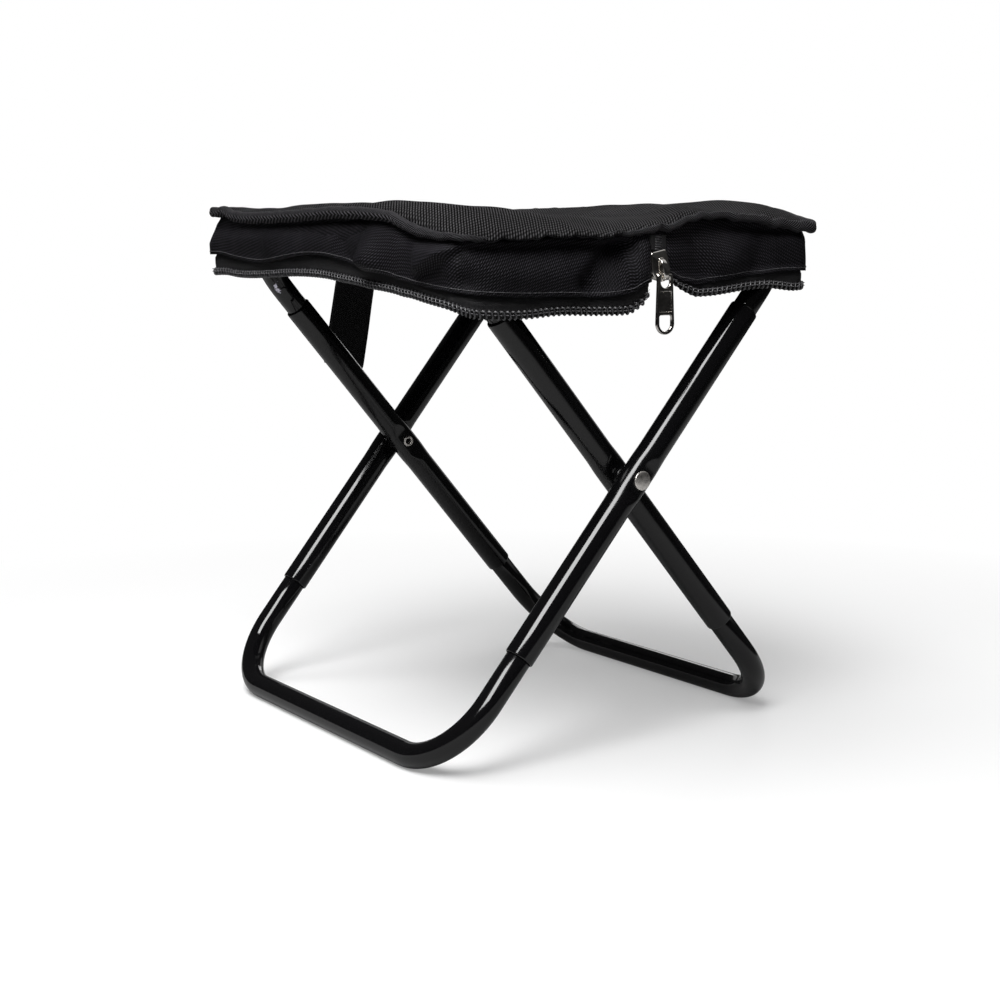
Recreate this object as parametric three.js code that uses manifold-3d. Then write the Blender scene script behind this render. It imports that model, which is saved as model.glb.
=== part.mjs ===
// Folding stool with crossed tube frames and a zip-round cloth seat, in millimetres, +Z up.
// The origin is on the floor midway between the two pivots. +X runs along the pivot axis to
// the side with the zip pull, -Y to the front and +Y to the back.

import * as THREE from 'three';
import { mergeVertices } from 'three/addons/utils/BufferGeometryUtils.js';
import Module from 'manifold-3d';

const wasm = await Module();
wasm.setup();

// Clearances and facets
const fit_gap = 0.3;
const cut_overrun = 4;
const bow_sides = 12;
const bore_sides = 8;
const sleeve_sides = 14;
const bend_steps = 7;
const chain_loop_steps = 2;
const strap_bend_steps = 6;

// Frame tubes
const bow_od = 14;
const bow_wall = 1;
const sleeve_od = 16;
const sleeve_half_length = 115;
const bow_insert = 38;
const bend_radius = 42.6;
const foot_reach = 184.5;
const top_reach = 171;
const leg_lean_deg = 39.9;
const outer_half_width = 132.2;
const outer_splay_deg = 0.95;
const frame_side_gap = 0.6;

// Pressed waists and rivets at the two pivots
const pressed_half_thickness = 6.5;
const pressed_flat_half = 7;
const pressed_run_half = 20;
const pressed_spread_share = 0.06;
const rivet_shank_radius = 2.4;
const rivet_head_radius = 5.2;
const rivet_head_height = 1.8;
const rivet_head_rim = 0.7;
const rivet_tail_radius = 3.3;
const rivet_tail_height = 1.2;
const rivet_tail_wall = 1.5;
const rivet_bore_depth = 7;
const spacer_radius = 6.6;

// Seat cloth
const seat_past_leg = 15.8;
const seat_past_rail = 9.6;
const seat_corner_radius = 14;
const fold_y = 4.9;
const seam_under_rail = 4.5;
const seam_rise = 22;
const wall_height = 24;
const tape_height = 13;
const panel_thickness = 2.4;
const panel_crown_height = 22;
const panel_sag = 11;
const panel_dip = 7;
const panel_dip_reach = 60;
const panel_side_reach = 58;
const panel_end_reach = 30;
const gusset_thickness = 1;
const gusset_bulge = 3;
const seam_tuck = 1.5;
const wall_tuck = 0.5;
const wall_shift = 5;
const gusset_flare = 0.3;
const wall_lean_share = 0.72;
const gusset_levels_share = [0, 0.36, wall_lean_share, 1];
const hem_tuck = 3;
const tape_thickness = 0.8;
const tape_overlap = 4;
const roll_radius = 3.2;
const roll_nose = 1.6;
const tunnel_end_gap = 5;
const tunnel_wall = 0.9;
const tunnel_neck = 2.2;
const tunnel_slack = 0.9;
const panel_rings_share = [1, 0.95, 0.86, 0.74, 0.58, 0.38, 0.18];
const cloth_step = 15;
const roll_step = 13.5;
const panel_step = 22;

// Zip
const coil_pitch = 2.4;
const coil_width = 5;
const stub_coil_width = 4.2;
const coil_thickness = 1.6;
const tooth_depth = 2.4;
const stub_half_width = 5;
const stub_gap = 1.2;
const slider_half_width = 5.25;
const slider_rear_half_width = 4.5;
const slider_length = 14.8;
const slider_drop = 21.4;
const slider_plate = 1.3;
const slider_channel = 2.6;
const slider_flange = 0.8;
const slider_slot = 1.4;
const slider_tilt_deg = 8;
const side_stand = 4.1;
const bridge_half_width = 1.3;
const bridge_thickness = 1.2;
const bridge_length = 11;
const tab_thickness = 1.5;
const tab_bar = 1.6;
const tab_reach = 30.6;
const tab_top_half_width = 4.9;
const tab_end_half_width = 5.8;
const tab_corner_radius = 1.6;
const tab_rim = 1.6;
const tab_eye_half_width = 3.2;
const tab_eye_height = 4.8;
const tab_hole_half_width = 4;
const tab_hole_height = 8.4;
const tab_web = 1.7;
const tab_recess = 0.3;
const tab_offset = 0.8;

// Carry strap on the far side
const strap_width = 27.6;
const strap_thickness = 1.3;
const strap_y = -15;
const strap_hinge_drop = 11;
const strap_root_height = 20;
const strap_drop = 69;
const strap_lean_deg = 6;
const strap_loop_thickness = 4;

// Places worked out from the sizes above
const lean = THREE.MathUtils.degToRad(leg_lean_deg);
const outer_splay = THREE.MathUtils.degToRad(outer_splay_deg);
const bow_radius = bow_od / 2;
const sleeve_radius = sleeve_od / 2;
const rail_height = bow_radius * Math.cos(Math.PI / bow_sides);
const pivot_z = rail_height + foot_reach * Math.cos(lean);
const inner_half_width = outer_half_width - sleeve_od - frame_side_gap;
const top_rail_y = top_reach * Math.sin(lean);
const top_rail_z = pivot_z + top_reach * Math.cos(lean);
const seam_low_z = top_rail_z - seam_under_rail;
const slider_bottom_z = seam_low_z - slider_drop;
const strap_hinge_z = seam_low_z - strap_hinge_drop;
const seat_half_length = outer_half_width + seat_past_leg;
const seat_half_depth = top_rail_y + seat_past_rail;
const side_reach = seat_half_length + side_stand;

const stool = new THREE.Group();

// Materials
const painted_steel = new THREE.MeshStandardMaterial({ color: 0x0c0b0e, roughness: 0.2, metalness: 0.4 });
const nickel = new THREE.MeshStandardMaterial({ color: 0xc9c6c2, roughness: 0.2, metalness: 1 });
const oxford_cloth = new THREE.MeshStandardMaterial({ color: 0x131316, roughness: 0.85, metalness: 0 });
const zip_cloth = new THREE.MeshStandardMaterial({ color: 0x0d0d0f, roughness: 0.8, metalness: 0 });
const nylon = new THREE.MeshStandardMaterial({ color: 0x17171a, roughness: 0.4, metalness: 0 });
const webbing = new THREE.MeshStandardMaterial({ color: 0x101012, roughness: 0.8, metalness: 0 });

function addMesh(name, geometry, material) {
  const mesh = new THREE.Mesh(geometry, material);
  mesh.name = name;
  stool.add(mesh);
  return mesh;
}

// A closed body from points and triangles, turned so that its faces point out
function closedBody(positions, indices) {
  const point = (i) => new THREE.Vector3().fromArray(positions, 3 * i);
  let volume = 0;
  for (let i = 0; i < indices.length; i += 3) {
    const [a, b, c] = [point(indices[i]), point(indices[i + 1]), point(indices[i + 2])];
    volume += a.dot(b.cross(c));
  }
  if (volume < 0) indices.reverse();
  const geometry = new THREE.BufferGeometry();
  geometry.setAttribute('position', new THREE.Float32BufferAttribute(positions, 3));
  geometry.setIndex(indices);
  return geometry;
}

function sideFaces(indices, first, second, count) {
  for (let k = 0; k < count; k++) {
    const next = (k + 1) % count;
    indices.push(first + k, first + next, second + next);
    indices.push(first + k, second + next, second + k);
  }
}

function endFaces(indices, station, first, outward) {
  const bore = station.bore ?? [];
  const points = [...station.outline, ...bore];
  const holes = bore.length ? [bore] : [];
  for (const [a, b, c] of THREE.ShapeUtils.triangulateShape(station.outline, holes)) {
    const turn = THREE.ShapeUtils.area([points[a], points[b], points[c]]);
    if (turn > 0 === outward) indices.push(first + a, first + b, first + c);
    else indices.push(first + a, first + c, first + b);
  }
}

// A solid swept through stations, each with its place, its two axes, an outline that runs
// anticlockwise and, where it is hollow, a bore that runs the same way
function sweep(stations, closed = false) {
  const positions = [];
  const indices = [];
  const sides = stations[0].outline.length;
  const boreSides = stations[0].bore?.length ?? 0;
  const ring = sides + boreSides;
  for (const { at, across, up, outline, bore } of stations) {
    for (const p of [...outline, ...(bore ?? [])]) {
      positions.push(...at.clone().addScaledVector(across, p.x).addScaledVector(up, p.y));
    }
  }
  const spans = closed ? stations.length : stations.length - 1;
  for (let i = 0; i < spans; i++) {
    const here = i * ring;
    const there = ((i + 1) % stations.length) * ring;
    sideFaces(indices, here, there, sides);
    sideFaces(indices, there + sides, here + sides, boreSides);
  }
  if (!closed) {
    endFaces(indices, stations[0], 0, false);
    endFaces(indices, stations.at(-1), (stations.length - 1) * ring, true);
  }
  return closedBody(positions, indices);
}

// A many-sided ring of points; its corners lie on the radius, or its flats do
function ring(radius, sides, turn = 0, flatsOnRadius = false) {
  const reach = flatsOnRadius ? radius / Math.cos(Math.PI / sides) : radius;
  return Array.from({ length: sides }, (_, k) => {
    const angle = turn + ((k + 0.5) * 2 * Math.PI) / sides;
    return new THREE.Vector2(reach * Math.cos(angle), reach * Math.sin(angle));
  });
}

function toManifold(geometry) {
  const bare = geometry.clone();
  bare.deleteAttribute('normal');
  bare.deleteAttribute('uv');
  const merged = mergeVertices(bare);
  const vertProperties = new Float32Array(merged.attributes.position.array);
  const triVerts = new Uint32Array(merged.index.array);
  return new wasm.Manifold(new wasm.Mesh({ numProp: 3, vertProperties, triVerts }));
}

function fromManifold(solid) {
  const mesh = solid.getMesh();
  const geometry = new THREE.BufferGeometry();
  geometry.setAttribute('position', new THREE.BufferAttribute(new Float32Array(mesh.vertProperties), 3));
  geometry.setIndex(new THREE.BufferAttribute(new Uint32Array(mesh.triVerts), 1));
  return geometry;
}

function joined(geometries) {
  return fromManifold(geometries.map(toManifold).reduce((all, next) => all.add(next)));
}

function cut(geometry, ...tools) {
  const solids = tools.map(toManifold);
  return fromManifold(solids.reduce((rest, tool) => rest.subtract(tool), toManifold(geometry)));
}

function box(low, high) {
  const size = high.clone().sub(low);
  const middle = low.clone().add(high).multiplyScalar(0.5);
  return new THREE.BoxGeometry(size.x, size.y, size.z).translate(middle.x, middle.y, middle.z);
}

// Crossed frames: side +1 is the outer frame, whose top rail is at the back, and side -1 is
// the inner one. A frame is drawn flat, u across and v up the legs from the pivot.
const frames = {
  outer: { side: 1, half: outer_half_width, splay: outer_splay },
  inner: { side: -1, half: inner_half_width, splay: 0 },
};

function frameVector(side, u, v) {
  return new THREE.Vector3(u, side * v * Math.sin(lean), v * Math.cos(lean));
}

function framePoint(side, u, v) {
  return frameVector(side, u, v).add(new THREE.Vector3(0, 0, pivot_z));
}

function frameNormal(side) {
  return new THREE.Vector3(0, -Math.cos(lean), side * Math.sin(lean));
}

function heading(from, to) {
  return to.clone().sub(from).normalize();
}

// Points along a flat route whose corners are bent to one radius, each with its heading
function bentRoute(corners, radius, steps) {
  const route = [{ point: corners[0], heading: heading(corners[0], corners[1]) }];
  for (let i = 1; i < corners.length - 1; i++) {
    const before = heading(corners[i - 1], corners[i]);
    const after = heading(corners[i], corners[i + 1]);
    const turn = Math.atan2(before.cross(after), before.dot(after));
    const setback = radius * Math.tan(Math.abs(turn) / 2);
    const start = corners[i].clone().addScaledVector(before, -setback);
    const inward = new THREE.Vector2(-before.y, before.x).multiplyScalar(Math.sign(turn));
    const centre = start.clone().addScaledVector(inward, radius);
    for (let k = 0; k <= steps; k++) {
      const swing = (turn * k) / steps;
      route.push({
        point: start.clone().rotateAround(centre, swing),
        heading: before.clone().rotateAround(new THREE.Vector2(), swing),
      });
    }
  }
  route.push({ point: corners.at(-1), heading: heading(corners.at(-2), corners.at(-1)) });
  return route;
}

// One U-bent end tube: its rail at the given reach, its two legs pushed into the sleeves
function bow(frame, reach) {
  const { side, half, splay } = frame;
  const legU = (v) => half + v * Math.tan(splay);
  const start = Math.sign(reach) * (sleeve_half_length - bow_insert);
  const corners = [
    new THREE.Vector2(legU(start), start),
    new THREE.Vector2(legU(reach), reach),
    new THREE.Vector2(-legU(reach), reach),
    new THREE.Vector2(-legU(start), start),
  ];
  const up = frameNormal(side);
  const railAcross = frameVector(side, -1, 0).cross(up);
  const down = new THREE.Vector3(0, 0, -1);
  const standingTurn = Math.atan2(down.dot(up), down.dot(railAcross));
  const stations = bentRoute(corners, bend_radius, bend_steps).map((step) => ({
    at: framePoint(side, step.point.x, step.point.y),
    across: frameVector(side, step.heading.x, step.heading.y).cross(up),
    up,
    outline: ring(bow_radius, bow_sides, standingTurn),
    bore: ring(bow_radius - bow_wall, bore_sides, standingTurn),
  }));
  return sweep(stations);
}

// One straight sleeve tube, pressed flat on both faces where the rivet goes through
function sleeve(frame, hand) {
  const { side, half, splay } = frame;
  const blend = (pressed_run_half - pressed_flat_half) / 3;
  const runs = [
    sleeve_half_length,
    pressed_run_half,
    pressed_run_half - blend,
    pressed_flat_half + blend,
    pressed_flat_half,
  ];
  const places = [...runs.map((v) => -v), ...runs.toReversed()];
  const leg = frameVector(side, hand * Math.sin(splay), Math.cos(splay));
  const up = frameNormal(side);
  const across = leg.clone().cross(up);
  const outer = ring(sleeve_radius, sleeve_sides);
  const bore = ring(bow_radius + fit_gap, sleeve_sides, 0, true);
  const wall = sleeve_radius * Math.cos(Math.PI / sleeve_sides) - bow_radius - fit_gap;
  const stations = places.map((v) => {
    const run = (pressed_run_half - Math.abs(v)) / (pressed_run_half - pressed_flat_half);
    const press = THREE.MathUtils.smoothstep(run, 0, 1);
    const limit = THREE.MathUtils.lerp(sleeve_radius, pressed_half_thickness, press);
    const spread = 1 + pressed_spread_share * press;
    const squeeze = (points, most) =>
      points.map((p) => new THREE.Vector2(THREE.MathUtils.clamp(p.x, -most, most), p.y * spread));
    return {
      at: framePoint(side, hand * half, 0).addScaledVector(leg, v),
      across,
      up,
      outline: squeeze(outer, limit),
      bore: squeeze(bore, limit - wall),
    };
  });
  const hole = new THREE.CylinderGeometry(
    rivet_shank_radius + fit_gap, rivet_shank_radius + fit_gap, sleeve_od + cut_overrun, 12);
  hole.rotateZ(Math.PI / 2).translate(hand * half, 0, pivot_z);
  return cut(sweep(stations), hole);
}

// A turned piece on the pivot axis, its profile drawn outward from the outer sleeve's face
function onPivot(profile, hand, segments) {
  const points = profile.map(([radius, out]) => new THREE.Vector2(radius, out));
  const turned = new THREE.LatheGeometry(points, segments);
  turned.rotateZ((-hand * Math.PI) / 2);
  return turned.translate(hand * (outer_half_width + pressed_half_thickness), 0, pivot_z);
}

// Semi-tubular rivet: low domed head outside, shank through both sleeves, tail rolled inside
function rivet(hand) {
  const grip = outer_half_width - inner_half_width + 2 * pressed_half_thickness;
  const tail = -grip - fit_gap;
  const tailEnd = tail - rivet_tail_height;
  const boreRadius = rivet_tail_radius - rivet_tail_wall;
  const headTop = fit_gap + rivet_head_height;
  return onPivot([
    [0, tailEnd + rivet_bore_depth],
    [boreRadius, tailEnd + rivet_bore_depth],
    [boreRadius, tailEnd],
    [(boreRadius + rivet_tail_radius) / 2, tailEnd - fit_gap],
    [rivet_tail_radius, (tail + tailEnd) / 2],
    [rivet_tail_radius, tail],
    [rivet_shank_radius, tail],
    [rivet_shank_radius, fit_gap],
    [rivet_head_radius, fit_gap],
    [rivet_head_radius, fit_gap + rivet_head_rim],
    [rivet_head_radius * 0.8, headTop - rivet_head_rim / 2],
    [0, headTop],
  ], hand, 14);
}

// Dark washer that keeps the two frames apart on the rivet
function spacer(hand) {
  const inner = rivet_shank_radius + fit_gap;
  const outerFace = -2 * pressed_half_thickness - fit_gap;
  const innerFace = -(outer_half_width - inner_half_width) + fit_gap;
  return onPivot([
    [inner, innerFace],
    [spacer_radius, innerFace],
    [spacer_radius, outerFace],
    [inner, outerFace],
    [inner, innerFace],
  ], hand, 14);
}

for (const [name, frame] of Object.entries(frames)) {
  addMesh(`${name}_upper_bow`, bow(frame, top_reach), painted_steel);
  addMesh(`${name}_lower_bow`, bow(frame, -foot_reach), painted_steel);
  addMesh(`${name}_sleeve_right`, sleeve(frame, 1), painted_steel);
  addMesh(`${name}_sleeve_left`, sleeve(frame, -1), painted_steel);
}
addMesh('rivet_right', rivet(1), nickel);
addMesh('rivet_left', rivet(-1), nickel);
addMesh('spacer_right', spacer(1), painted_steel);
addMesh('spacer_left', spacer(-1), painted_steel);

// The seat is a shallow cloth case in two halves that meet at a fold line over the pivots.
// Each half is drawn by the distance round its edge, from the fold on the zip-pull side to the
// fold on the far side. The tables give, by share of that distance, the seam's height over
// its lowest point, the drop of the side wall and the drop of the zip tape under it.
const seat_halves = {
  front: {
    side: -1,
    seam_shares: [
      [0, 0.24], [0.03, 0.15], [0.07, 0.08], [0.12, 0.09], [0.16, 0.03], [0.21, 0.01], [0.26, 0.1],
      [0.294, 0.21], [0.323, 0.4], [0.345, 0.54], [0.375, 0.63], [0.455, 0.72], [0.545, 0.7],
      [0.645, 0.7], [0.725, 0.75], [0.775, 0.84], [0.82, 0.88], [0.9, 0.78], [1, 0.7],
    ],
    wall_shares: [
      [0, 1.06], [0.02, 1.15], [0.036, 1.28], [0.12, 1.27], [0.165, 1.2], [0.21, 1.13], [0.26, 1.1],
      [0.3, 1.12], [0.335, 1.22], [0.385, 1.2], [0.44, 1.06], [0.49, 0.94], [0.56, 0.93],
      [0.7, 0.96], [0.8, 1], [1, 1],
    ],
    tape_shares: [
      [0, 0.3], [0.01, 0.58], [0.018, 0.86], [0.036, 0.86], [0.07, 0.74], [0.12, 0.76],
      [0.165, 0.88], [0.21, 0.9], [0.26, 0.7], [0.31, 0.66], [0.35, 0.74], [0.41, 0.86],
      [0.47, 1], [0.56, 0.9], [0.69, 0.95], [0.78, 1], [0.9, 1], [0.985, 0.9], [1, 0.3],
    ],
    bulge_shares: [[0.06, 0.03, 0.5], [0.23, 0.03, 1], [0.37, 0.05, 0.6], [0.62, 0.08, 0.4]],
    top_shift_shares: [[0.78, 0.03, -0.8]],
    foot_shift_shares: [[0.78, 0.04, 0.8]],
  },
  back: {
    side: 1,
    seam_shares: [
      [0, 0.24], [0.02, 0.32], [0.04, 0.46], [0.065, 0.56], [0.106, 0.51], [0.147, 0.42],
      [0.19, 0.27], [0.225, 0.3], [0.267, 0.6], [0.3, 0.73], [0.37, 0.84], [0.44, 0.9],
      [0.56, 0.95], [0.69, 0.98], [0.76, 1], [0.8, 0.98], [0.84, 0.9], [0.92, 0.76], [1, 0.7],
    ],
    wall_shares: [
      [0, 1.06], [0.016, 1.17], [0.04, 1.37], [0.053, 1.48], [0.08, 1.44], [0.133, 1.2],
      [0.19, 0.98], [0.23, 1], [0.3, 1.08], [0.5, 1.1], [0.75, 1.1], [0.8, 1], [1, 1.05],
    ],
    tape_shares: [
      [0, 0.3], [0.016, 0.26], [0.026, 0.3], [0.04, 0.44], [0.053, 0.52], [0.073, 0.58],
      [0.106, 0.6], [0.148, 0.7], [0.184, 0.85], [0.21, 0.82], [0.26, 0.95], [0.4, 1],
      [0.9, 1], [0.985, 0.9], [1, 0.3],
    ],
    bulge_shares: [[0.09, 0.04, 0.6], [0.3, 0.05, 0.5], [0.6, 0.08, 0.5]],
    top_shift_shares: [[0.22, 0.022, -1.1]],
    foot_shift_shares: [[0.22, 0.022, -0.8]],
  },
};

// A smooth curve through a table of pairs
function alongTable(table, share) {
  const last = table.length - 1;
  let i = 0;
  while (i < last - 1 && share > table[i + 1][0]) i++;
  const slope = (k) => {
    const [a, b] = [table[Math.max(k - 1, 0)], table[Math.min(k + 1, last)]];
    return (b[1] - a[1]) / (b[0] - a[0]);
  };
  const [[x0, y0], [x1, y1]] = [table[i], table[i + 1]];
  const width = x1 - x0;
  const t = THREE.MathUtils.clamp((share - x0) / width, 0, 1);
  const [t2, t3] = [t * t, t * t * t];
  return (2 * t3 - 3 * t2 + 1) * y0 + (t3 - 2 * t2 + t) * width * slope(i)
    + (3 * t2 - 2 * t3) * y1 + (t3 - t2) * width * slope(i + 1);
}

const corner_arc = (Math.PI / 2) * seat_corner_radius;
const sideRun = (half) => seat_half_depth - half.side * fold_y - seat_corner_radius;
const endRun = 2 * (seat_half_length - seat_corner_radius);
const halfLength = (half) => 2 * sideRun(half) + 2 * corner_arc + endRun;

// A point on the seat's edge, by distance round one half, with its outward direction
function edgePoint(half, along) {
  const run = sideRun(half);
  const total = halfLength(half);
  const mirrored = along > total / 2;
  const d = mirrored ? total - along : along;
  const hand = mirrored ? -1 : 1;
  const angle = THREE.MathUtils.clamp((d - run) / seat_corner_radius, 0, Math.PI / 2);
  const beyond = Math.max(d - run - corner_arc, 0);
  const out = new THREE.Vector3(hand * Math.cos(angle), half.side * Math.sin(angle), 0);
  const x = hand * (seat_half_length - seat_corner_radius - beyond) + out.x * seat_corner_radius;
  const straightY = fold_y + half.side * Math.min(d, run);
  return { at: new THREE.Vector3(x, straightY + out.y * seat_corner_radius, 0), out, angle };
}

const seamZ = (half, share) => seam_low_z + seam_rise * alongTable(half.seam_shares, share);
const tapeLineZ = (half, share) => seamZ(half, share) - wall_height * alongTable(half.wall_shares, share);
const hemZ = (half, share) => tapeLineZ(half, share) - tape_height * alongTable(half.tape_shares, share);

// Sum of smooth humps, each with its middle, half width and size
function humps(table, share) {
  const hump = ([centre, width, size]) => size * Math.exp(-(((share - centre) / width) ** 2));
  return table.reduce((sum, row) => sum + hump(row), 0);
}

// How far the wall's foot, with the zip under it, stands out from the edge line
const footShift = (half, share) => wall_shift * humps(half.foot_shift_shares, share);

// Outer face of the side wall, outward from the edge line, from the seam (0) to the tape (1)
function wallOffset(half, share, level) {
  const tilt = THREE.MathUtils.lerp(-wall_tuck, gusset_flare, Math.min(2 * level, 1));
  const top = wall_shift * humps(half.top_shift_shares, share);
  const bulge = gusset_bulge * humps(half.bulge_shares, share) * Math.sin(Math.PI * level) ** 2;
  const lean = THREE.MathUtils.lerp(top, footShift(half, share), Math.min(level / wall_lean_share, 1));
  return tilt + lean + bulge;
}

// Distances round a half, close together at the bent corners
function edgePlaces(half, start, step) {
  const [run, total] = [sideRun(half), halfLength(half)];
  const spans = [
    [start, run, Math.round((run - start) / step)],
    [run, run + corner_arc, 4],
    [run + corner_arc, total - run - corner_arc, Math.round(endRun / step)],
    [total - run - corner_arc, total - run, 4],
    [total - run, total - start, Math.round((run - start) / step)],
  ];
  const places = spans.flatMap(([from, to, count]) =>
    Array.from({ length: count }, (_, k) => THREE.MathUtils.lerp(from, to, k / count)));
  return [...places, total - start];
}

const skyward = new THREE.Vector3(0, 0, 1);

// A cloth band round one half: its section at each place is a list of [outward, height]
function band(half, start, step, section) {
  const total = halfLength(half);
  const stations = edgePlaces(half, start, step).map((along) => {
    const { at, out } = edgePoint(half, along);
    const outline = section(along / total).map(([offset, z]) => new THREE.Vector2(offset, z));
    return { at, across: out, up: skyward, outline };
  });
  return sweep(stations);
}

function gusset(half) {
  return band(half, slider_half_width + 2 * fit_gap, cloth_step, (share) => {
    const top = seamZ(half, share) - roll_radius - fit_gap;
    const bottom = tapeLineZ(half, share);
    const outer = gusset_levels_share.map((level) =>
      [wallOffset(half, share, level), THREE.MathUtils.lerp(top, bottom, level)]);
    const inner = outer.map(([offset, z]) => [offset - gusset_thickness, z]);
    return [...outer.toReversed(), ...inner];
  });
}

const tape_top_offset = gusset_flare - gusset_thickness - fit_gap;

// The coil is narrower where the wall comes down over it
function chainTopZ(half, share) {
  const room = tape_height * alongTable(half.tape_shares, share) - fit_gap;
  return hemZ(half, share) + Math.min(coil_width, room);
}

function zipTape(half) {
  return band(half, slider_half_width + 2 * fit_gap, cloth_step, (share) => {
    const outer = [
      [-hem_tuck, hemZ(half, share) + tooth_depth],
      [-hem_tuck, chainTopZ(half, share)],
      [tape_top_offset, tapeLineZ(half, share) + tape_overlap],
    ];
    const inner = outer.map(([offset, z]) => [offset - tape_thickness, z]);
    const shift = footShift(half, share);
    return [...outer, ...inner.toReversed()].map(([offset, z]) => [offset + shift, z]);
  });
}

// The coil along one hem: a wedge whose lower edge is cut into the coil's loops. Its two upper
// edges take a step of several loops, its lower edge two for each loop.
function coilChain(half) {
  const start = slider_half_width + 2 * fit_gap;
  const total = halfLength(half);
  const loops = Math.round((total - 2 * start) / coil_pitch);
  const steps = Math.ceil(loops / chain_loop_steps);
  const positions = [];
  const put = (along, offset, z) => {
    const { at, out } = edgePoint(half, along);
    positions.push(...at.addScaledVector(out, offset + footShift(half, along / total)).setZ(z));
    return positions.length / 3 - 1;
  };
  const inner = fit_gap - hem_tuck;
  const place = (share) => THREE.MathUtils.lerp(start, total - start, share);
  const top = Array.from({ length: steps + 1 }, (_, k) => {
    const along = place(Math.min((k * chain_loop_steps) / loops, 1));
    const z = chainTopZ(half, along / total);
    return [put(along, inner + coil_thickness, z), put(along, inner, z)];
  });
  const teeth = Array.from({ length: 2 * loops + 1 }, (_, k) => {
    const along = place(k / (2 * loops));
    const drop = k % 2 ? 0 : tooth_depth;
    return put(along, inner + coil_thickness / 2, hemZ(half, along / total) + drop);
  });
  const indices = [];
  for (let k = 0; k < steps; k++) {
    const [a, b] = [top[k], top[k + 1]];
    indices.push(a[1], a[0], b[0], a[1], b[0], b[1]);
    const first = 2 * chain_loop_steps * k;
    const last = Math.min(2 * chain_loop_steps * (k + 1), 2 * loops);
    const middle = Math.round((first + last) / 2);
    for (let t = first; t < last; t++) {
      const apex = t < middle ? a : b;
      indices.push(apex[0], teeth[t], teeth[t + 1], apex[1], teeth[t + 1], teeth[t]);
    }
    indices.push(a[0], teeth[middle], b[0], a[1], b[1], teeth[middle]);
  }
  indices.push(top[0][0], top[0][1], teeth[0]);
  indices.push(top[steps][1], top[steps][0], teeth[2 * loops]);
  return closedBody(positions, indices);
}

// The bound seam: one round roll along the whole edge
function bindingRoll() {
  const { front, back } = seat_halves;
  const stationsOf = (half) => edgePlaces(half, 0, roll_step).map((along) => {
    const { at, out, angle } = edgePoint(half, along);
    at.addScaledVector(out, rollOffset(angle)).setZ(seamZ(half, along / halfLength(half)));
    return { at, across: out, up: skyward, outline: ring(roll_radius, 6) };
  });
  const round = [...stationsOf(front), ...stationsOf(back).reverse().slice(1, -1)];
  return sweep(round, true);
}

// Height of the seam where it passes a point of one side, for the panel that it edges
function seamOnSide(hand, y) {
  const half = y < fold_y ? seat_halves.front : seat_halves.back;
  const [run, total] = [sideRun(half), halfLength(half)];
  const straight = Math.min(Math.abs(y - fold_y), run);
  const past = Math.max(Math.abs(y) - seat_half_depth + seat_corner_radius, 0);
  const along = straight + (past / seat_corner_radius) * (corner_arc / 2);
  return seamZ(half, (hand > 0 ? along : total - along) / total);
}

function seamOnEnd(half, x) {
  const [run, total] = [sideRun(half), halfLength(half)];
  const bend = seat_half_length - seat_corner_radius;
  const beyond = Math.max(bend - Math.abs(x), 0);
  const past = Math.min(seat_half_length - Math.abs(x), seat_corner_radius);
  const along = run + corner_arc / 2 + (past / seat_corner_radius) * (corner_arc / 2) + beyond;
  return seamZ(half, (x > 0 ? along : total - along) / total);
}

// Middle height of the top panel: it meets the seam all round, crowns over the two rails and
// sags between them
function panelZ(x, y) {
  const { front, back } = seat_halves;
  const sag = panel_sag * Math.cos((Math.PI * y) / (2 * seat_half_depth)) ** 2;
  const fromLowCorner = Math.hypot(x - seat_half_length, y + seat_half_depth) / panel_dip_reach;
  const base = seam_low_z + panel_crown_height - sag - panel_dip * Math.exp(-(fromLowCorner ** 2));
  const fade = (distance, reach) => Math.max(1 - distance / reach, 0) ** 2;
  const edges = [
    [fade(seat_half_length - x, panel_side_reach), seamOnSide(1, y)],
    [fade(seat_half_length + x, panel_side_reach), seamOnSide(-1, y)],
  ];
  const ends = [
    [fade(seat_half_depth + y, panel_end_reach), seamOnEnd(front, x), -seat_half_depth],
    [fade(seat_half_depth - y, panel_end_reach), seamOnEnd(back, x), seat_half_depth],
  ];
  let z = base;
  for (const [weight, seam] of [...edges, ...ends]) z += weight * (seam - base);
  edges.forEach(([weight], i) => {
    for (const [endWeight, , cornerY] of ends) {
      z -= weight * endWeight * (seamOnSide(i ? -1 : 1, cornerY) - base);
    }
  });
  return z;
}

// Offset of the roll's middle from the edge line, with a stiff nose at each corner
const rollOffset = (angle) => roll_nose * Math.sin(2 * angle) - seam_tuck;

// The panel's edge in plan, just inside the roll
function panelEdge() {
  const { front, back } = seat_halves;
  const placesOf = (half) => edgePlaces(half, 0, panel_step).map((along) => {
    const { at, out, angle } = edgePoint(half, along);
    return at.addScaledVector(out, rollOffset(angle) - roll_radius - fit_gap);
  });
  return [...placesOf(front), ...placesOf(back).reverse().slice(1, -1)];
}

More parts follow.
